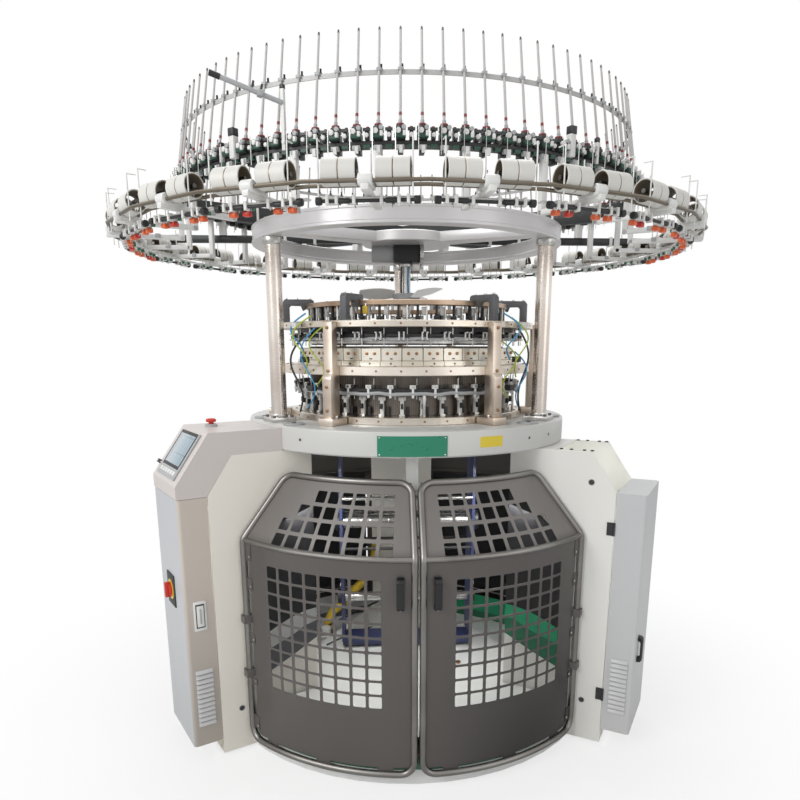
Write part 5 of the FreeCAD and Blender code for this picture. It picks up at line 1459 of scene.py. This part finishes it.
between.add(lying(6.5, 0, 8, 10, 1, (946, 0, RING_TOP + 12)), 4)
between.add(upright(5, RING_TOP + 30, RING_TOP + 40, 8, 0, 928), 2)
feeders = Piece(*feeder.finishes)
feeders.round(feeder, spread(FEEDERS))
feeders.round(between, spread(FEEDERS, 180.0 / FEEDERS))
feeders.done("feeders", "machine", "dark_metal", ["yarn_feeders"])

# %% Rods and their band
FEEDER_TOP, BAND_BASE, BAND_TOP, ROD_TOP = 2263.0, 2398.0, 2420.0, 2533.0
ROD_CIRCLE = 930.0
LEAN = (902 * math.cos(math.pi / 45) + 4.2 - ROD_CIRCLE) / (BAND_TOP - FEEDER_TOP)

foot = Vector((ROD_CIRCLE, 0, FEEDER_TOP))
tip = Vector((ROD_CIRCLE + LEAN * (ROD_TOP - FEEDER_TOP), 0, ROD_TOP))
length = (tip - foot).length
rod = Piece(rod_white, dark_steel, dark_red, part_grey)
rod.many(
    upright,
    (0, 4.3, 0, length - 8, 8, 0, 0, 0, 3.5),
    (1, 3.8, length - 9, length, 8, 0, 0, 0, 2.6),
    (2, 4.8, 22, 31, 8),
    (3, 6.0, -4, 9, 8),
    place=along(foot, tip),
)
rods = Piece(*rod.finishes).round(rod, spread(FEEDERS))
rods.done("rods", "machine", "white_plastic", ["guide_rods"])

clamp = Piece(band_grey, part_grey, matt_black)
clamp.add(block((13, 15, 9), 1.2, (897, -7.5, BAND_TOP - 9)), 1)
clamp.add(upright(3.5, BAND_TOP - 7, BAND_TOP + 13, 6, 0, 892, 5), 2)
clamp.add(block((9, 8, 6), 1.0, (887, 1, BAND_TOP - 3)), 2)
band = Piece(*clamp.finishes).round(clamp, spread(FEEDERS))
band.add(ring(901.5, 898.5, BAND_BASE + 4, BAND_TOP - 4, 0.6, 180))
band.done("band", "machine", "light_paint", ["rod_band"])

# %% [markdown]
# The roller rail runs outside the feeders: two thin dark bars on white arms. Each arm carries two
# wide rollers on either side of it, and each roller is a pair of open white sleeves with a dark
# gap, brown inside. A sleeve is one turned outline with a real wall, because the camera looks
# into it.

# %% Rail
MODULES = 22
STEP = 360.0 / MODULES
RAIL_AZIMUTHS = spread(MODULES, STEP / 2)
RAIL_RADIUS, ROLLER_HEIGHT, ROLLER_SHIFT = 1160.0, 2080.0, 73.5
SPREAD = (37.0 * math.cos(math.pi / 8) + 0.3 + 8.0 * math.cos(math.pi / 4)) * math.sqrt(0.5)
BAR_HEIGHT = ROLLER_HEIGHT - SPREAD
ARM_LOW = BAR_HEIGHT - 26

rail = Piece(rail_brown)
for side in (-1, 1):
    corner = (RAIL_RADIUS + side * SPREAD) / math.cos(math.radians(STEP / 2))
    path = [outward(STEP * k, corner, BAR_HEIGHT) for k in range(MODULES)]
    rail.add(tube(path, 5.6, 8, True))
rail.done("rail_bars", "machine", "steel", ["roller_rail"])

bracket = Piece(clamp_white, part_grey, bright_steel)
bracket.many(
    block,
    (0, (RAIL_RADIUS - 878, 22, 17), 2.5, (922, -11, ARM_LOW)),
    (0, (20, 22, RING_BASE - ARM_LOW), 2.5, (921, -11, ARM_LOW)),
    (0, (62, 36, 14), 4.0, (RAIL_RADIUS - 31, -18, BAR_HEIGHT - 14)),
    (1, (20, 34, 16), 3.0, (1010, -17, ARM_LOW + 4)),
)
for x in (-SPREAD, SPREAD):
    spot = (RAIL_RADIUS + x, 0, BAR_HEIGHT + 2)
    bracket.add(lying(17, -20, 20, 20, 5, spot, ALONG_Y))
    bracket.add(lying(5, -23, -20, 6, 1, spot, ALONG_Y), 2)
brackets = Piece(*bracket.finishes).round(bracket, RAIL_AZIMUTHS)
brackets.done("rail_arms", "machine", "white_paint", ["rail_brackets"])

# %% Rollers
sleeve = turning([
    (32.5, 1), (33, 0), (35.5, 0), (36.5, 1.5), (36.5, 43.5), (35.5, 45), (33, 45), (32.5, 44),
], 24)
pair = Piece(roller_white, roller_inside, needle_brown, dark_steel)
for start in (-46.5, 1.5):
    pair.add(sleeve, 0, moved(y=start) @ ALONG_Y)
pair.add(turning([(31.0, -46), (32.6, -46), (32.6, 46), (31.0, 46)], 24), 1, ALONG_Y)
pair.add(ring(35, 32, -2.5, 2.5, 0.5, 24), 2, ALONG_Y)
pair.add(upright(7, -48, 48, 10), 3, ALONG_Y)
rollers = Piece(*pair.finishes)
for azimuth in RAIL_AZIMUTHS:
    for shift in (-ROLLER_SHIFT, ROLLER_SHIFT):
        place = at_azimuth(azimuth, RAIL_RADIUS, ROLLER_HEIGHT) @ moved(y=shift)
        rollers.add(pair.mesh, None, place)
rollers.done("rollers", "machine", "white_plastic", ["yarn_rollers"])

# %% [markdown]
# Under the rollers hang the stop-motion detectors: on each module a black shaft with a knob at
# both ends and four white housings. The modules at both sides of the front also show their signal
# ends, orange or red. Thin white yarn tubes stand beside the rollers.

# %% Detectors
SHAFT = BAR_HEIGHT - 41.0
FRONT = RAIL_RADIUS - 18.0
HOUSINGS = (-99, -52, 52, 99)
module = Piece(matt_black, clean_white, lamp_orange, signal_red, machine_green, bright_steel)
module.many(
    lying,
    (0, 5, -128, 128, 10, 0, (FRONT, 0, SHAFT), ALONG_Y),
    *((0, 11, -9, 9, 14, 3, (FRONT, y, SHAFT), ALONG_Y) for y in (-136, 136)),
    *((0, 7.5, -16, 16, 10, 1, (FRONT, y, SHAFT), ALONG_Y) for y in (-66, 66)),
)
module.many(
    block,
    (1, (24, 300, 5), 1.0, (1102, -150, SHAFT + 9)),
    *((1, (20, 9, 24), 1.5, (FRONT - 10, y - 4.5, SHAFT - 10))
      for y in (-112, -86, -38, 38, 86, 112)),
    *((1, (16, 16, 16), 1.5, (1112, y - 8, SHAFT - 6)) for y in HOUSINGS),
    *((4, (10, 8, 10), 0, (1104, y + 10, SHAFT - 4)) for y in HOUSINGS),
)
for y in HOUSINGS:
    module.add(upright(1.4, SHAFT - 14, SHAFT + 78, 5, 0, 1116, y + 13), 5)
    module.add(upright(1.2, SHAFT - 14, SHAFT + 60, 5, 0, 1140, y - 13), 5)
lamps = Piece(*module.finishes)
for finish, y in zip((2, 3, 2, 2), HOUSINGS):
    lamps.add(block((20, 23, 15), 3.0, (1110, y - 11.5, SHAFT - 22)), finish)
stops = Piece(*module.finishes).round(module, RAIL_AZIMUTHS)
stops.round(lamps, [a for a in RAIL_AZIMUTHS if 20.0 < a < 100.0 or 260.0 < a < 340.0])
stops.done("stop_blocks", "machine", "white_plastic", ["stop_detectors"])

# %% Yarn tubes beside the rollers
wire = Piece(clean_white)
for y in (-127, 127):
    wire.add(upright(2.2, ROLLER_HEIGHT - 66, ROLLER_HEIGHT + 78, 6, 0, 1186, y))
    wire.add(lying(1.8, 0, 30, 6, 0, (1157, y, ROLLER_HEIGHT + 77)))
wire.add(upright(2.2, ROLLER_HEIGHT - 6, ROLLER_HEIGHT + 70, 6, 0, 1112, 6))
Piece(*wire.finishes).round(wire, RAIL_AZIMUTHS).done("yarn_tubes", "machine")

# %% Yarn posts
POSTS = ((-38, 89, 22), (30, 89, 22), (-26, 183, 12), (-42, 59, 13), (38, 78, 13))
tall = Piece(clean_white, matt_black, part_grey)
for azimuth, height, width in POSTS:
    place = at_azimuth(azimuth, 940.6, RING_BASE)
    cap = width * 1.1
    tall.add(block((width, width, height - 8), 2.0, (0, -width / 2, 0)), 0, place)
    tall.add(block((cap, cap, cap), 2.0, (-0.5, -cap / 2, height - cap)), 1, place)
start = outward(-26, 952, RING_BASE + 132)
arm = along(start, start + Vector((-205, -57, 60)))
tall.add(upright(7.5, 0, 190, 12), 2, arm)
tall.add(upright(8.8, 184, 216, 12), 1, arm)
for shift in (66, 92):
    tall.add(lying(3.5, 0, 26, 8, 0, (0, 0, shift), ALONG_Y), 1, arm)
tall.add(block((24, 18, 16), 2.0, (-12, -9, 58)), 2, arm)
tall.done("posts", "machine", "white_plastic", ["yarn_posts"])

# %% [markdown]
# ## Floor, background and light
# The machine stands in a plain white studio. The floor keeps a soft shadow, and both floor and
# world show white to the camera and to reflections, through the Light Path node, so the white does
# not come from more light on the machine. Two broad area lamps from the front and one from above
# give the soft, even light of the photograph, and two weak ones show what lies behind the panes.

# %% Floor
def floor_finish():
    made = Finish("studio_floor", 0.9)
    made.shader.inputs["Base Color"].default_value = (0.86, 0.86, 0.86, 1.0)
    made.shader.inputs["Specular IOR Level"].default_value = 0.1
    ray = made.node("ShaderNodeLightPath", {}, {}, "Is Camera Ray")
    glow = made.node("ShaderNodeEmission", {}, {"Color": (1, 1, 1, 1), "Strength": 1.0})
    white = 0.7 + made.band(made.vector("LENGTH", made.place), 0.9, 2.3) * 0.3
    mixed = made.node("ShaderNodeMixShader", {}, {0: ray * white, 2: glow})
    made.tree.links.new(made.shader.outputs[0], mixed.socket.node.inputs[1])
    output = made.tree.nodes["Material Output"]
    made.tree.links.new(mixed.socket, output.inputs["Surface"])
    return made.material


ground = bmesh.new()
bmesh.ops.create_circle(ground, cap_ends=True, segments=64, radius=30.0)
floor_mesh = bpy.data.meshes.new("floor")
ground.to_mesh(floor_mesh)
ground.free()
floor_mesh.materials.append(floor_finish())
floor = bpy.data.objects.new("floor", floor_mesh)
bpy.context.scene.collection.objects.link(floor)

# %% World
WORLD_LEVEL = 0.5
world = bpy.data.worlds.new("studio")
bpy.context.scene.world = world
world.use_nodes = True
sky = world.node_tree
background = sky.nodes["Background"]
background.inputs["Color"].default_value = (1.0, 1.0, 1.0, 1.0)
ray = sky.nodes.new("ShaderNodeLightPath")
shown = ray.outputs["Is Camera Ray"]
for name in ("Is Transmission Ray", "Is Glossy Ray"):
    either = sky.nodes.new("ShaderNodeMath")
    either.operation = "MAXIMUM"
    sky.links.new(shown, either.inputs[0])
    sky.links.new(ray.outputs[name], either.inputs[1])
    shown = either.outputs[0]
level = sky.nodes.new("ShaderNodeMapRange")
level.inputs["To Min"].default_value = WORLD_LEVEL
level.inputs["To Max"].default_value = 1.0
sky.links.new(shown, level.inputs["Value"])
sky.links.new(level.outputs[0], background.inputs["Strength"])

# %% Lamps
def lamp(name, place, target, size, power):
    """A soft square lamp that looks at a point."""
    light = bpy.data.lights.new(name, "AREA")
    light.size = size
    light.energy = power
    made = bpy.data.objects.new(name, light)
    made.location = place
    made.rotation_euler = (Vector(target) - Vector(place)).to_track_quat("-Z", "Y").to_euler()
    bpy.context.scene.collection.objects.link(made)


lamp("key", (-4.0, -3.8, 4.2), (0, 0, 1.2), 3.0, 165)
lamp("fill", (3.6, -3.8, 2.6), (0, 0, 1.2), 3.0, 26)
lamp("top", (0.0, 1.5, 5.4), (0, 0, 1.4), 3.0, 100)
for side in (-1, 1):
    lamp(f"inner_{side + 1}", (side * 0.46, -0.34, 1.0), (side * 0.25, -0.1, 0.1), 0.3, 5)
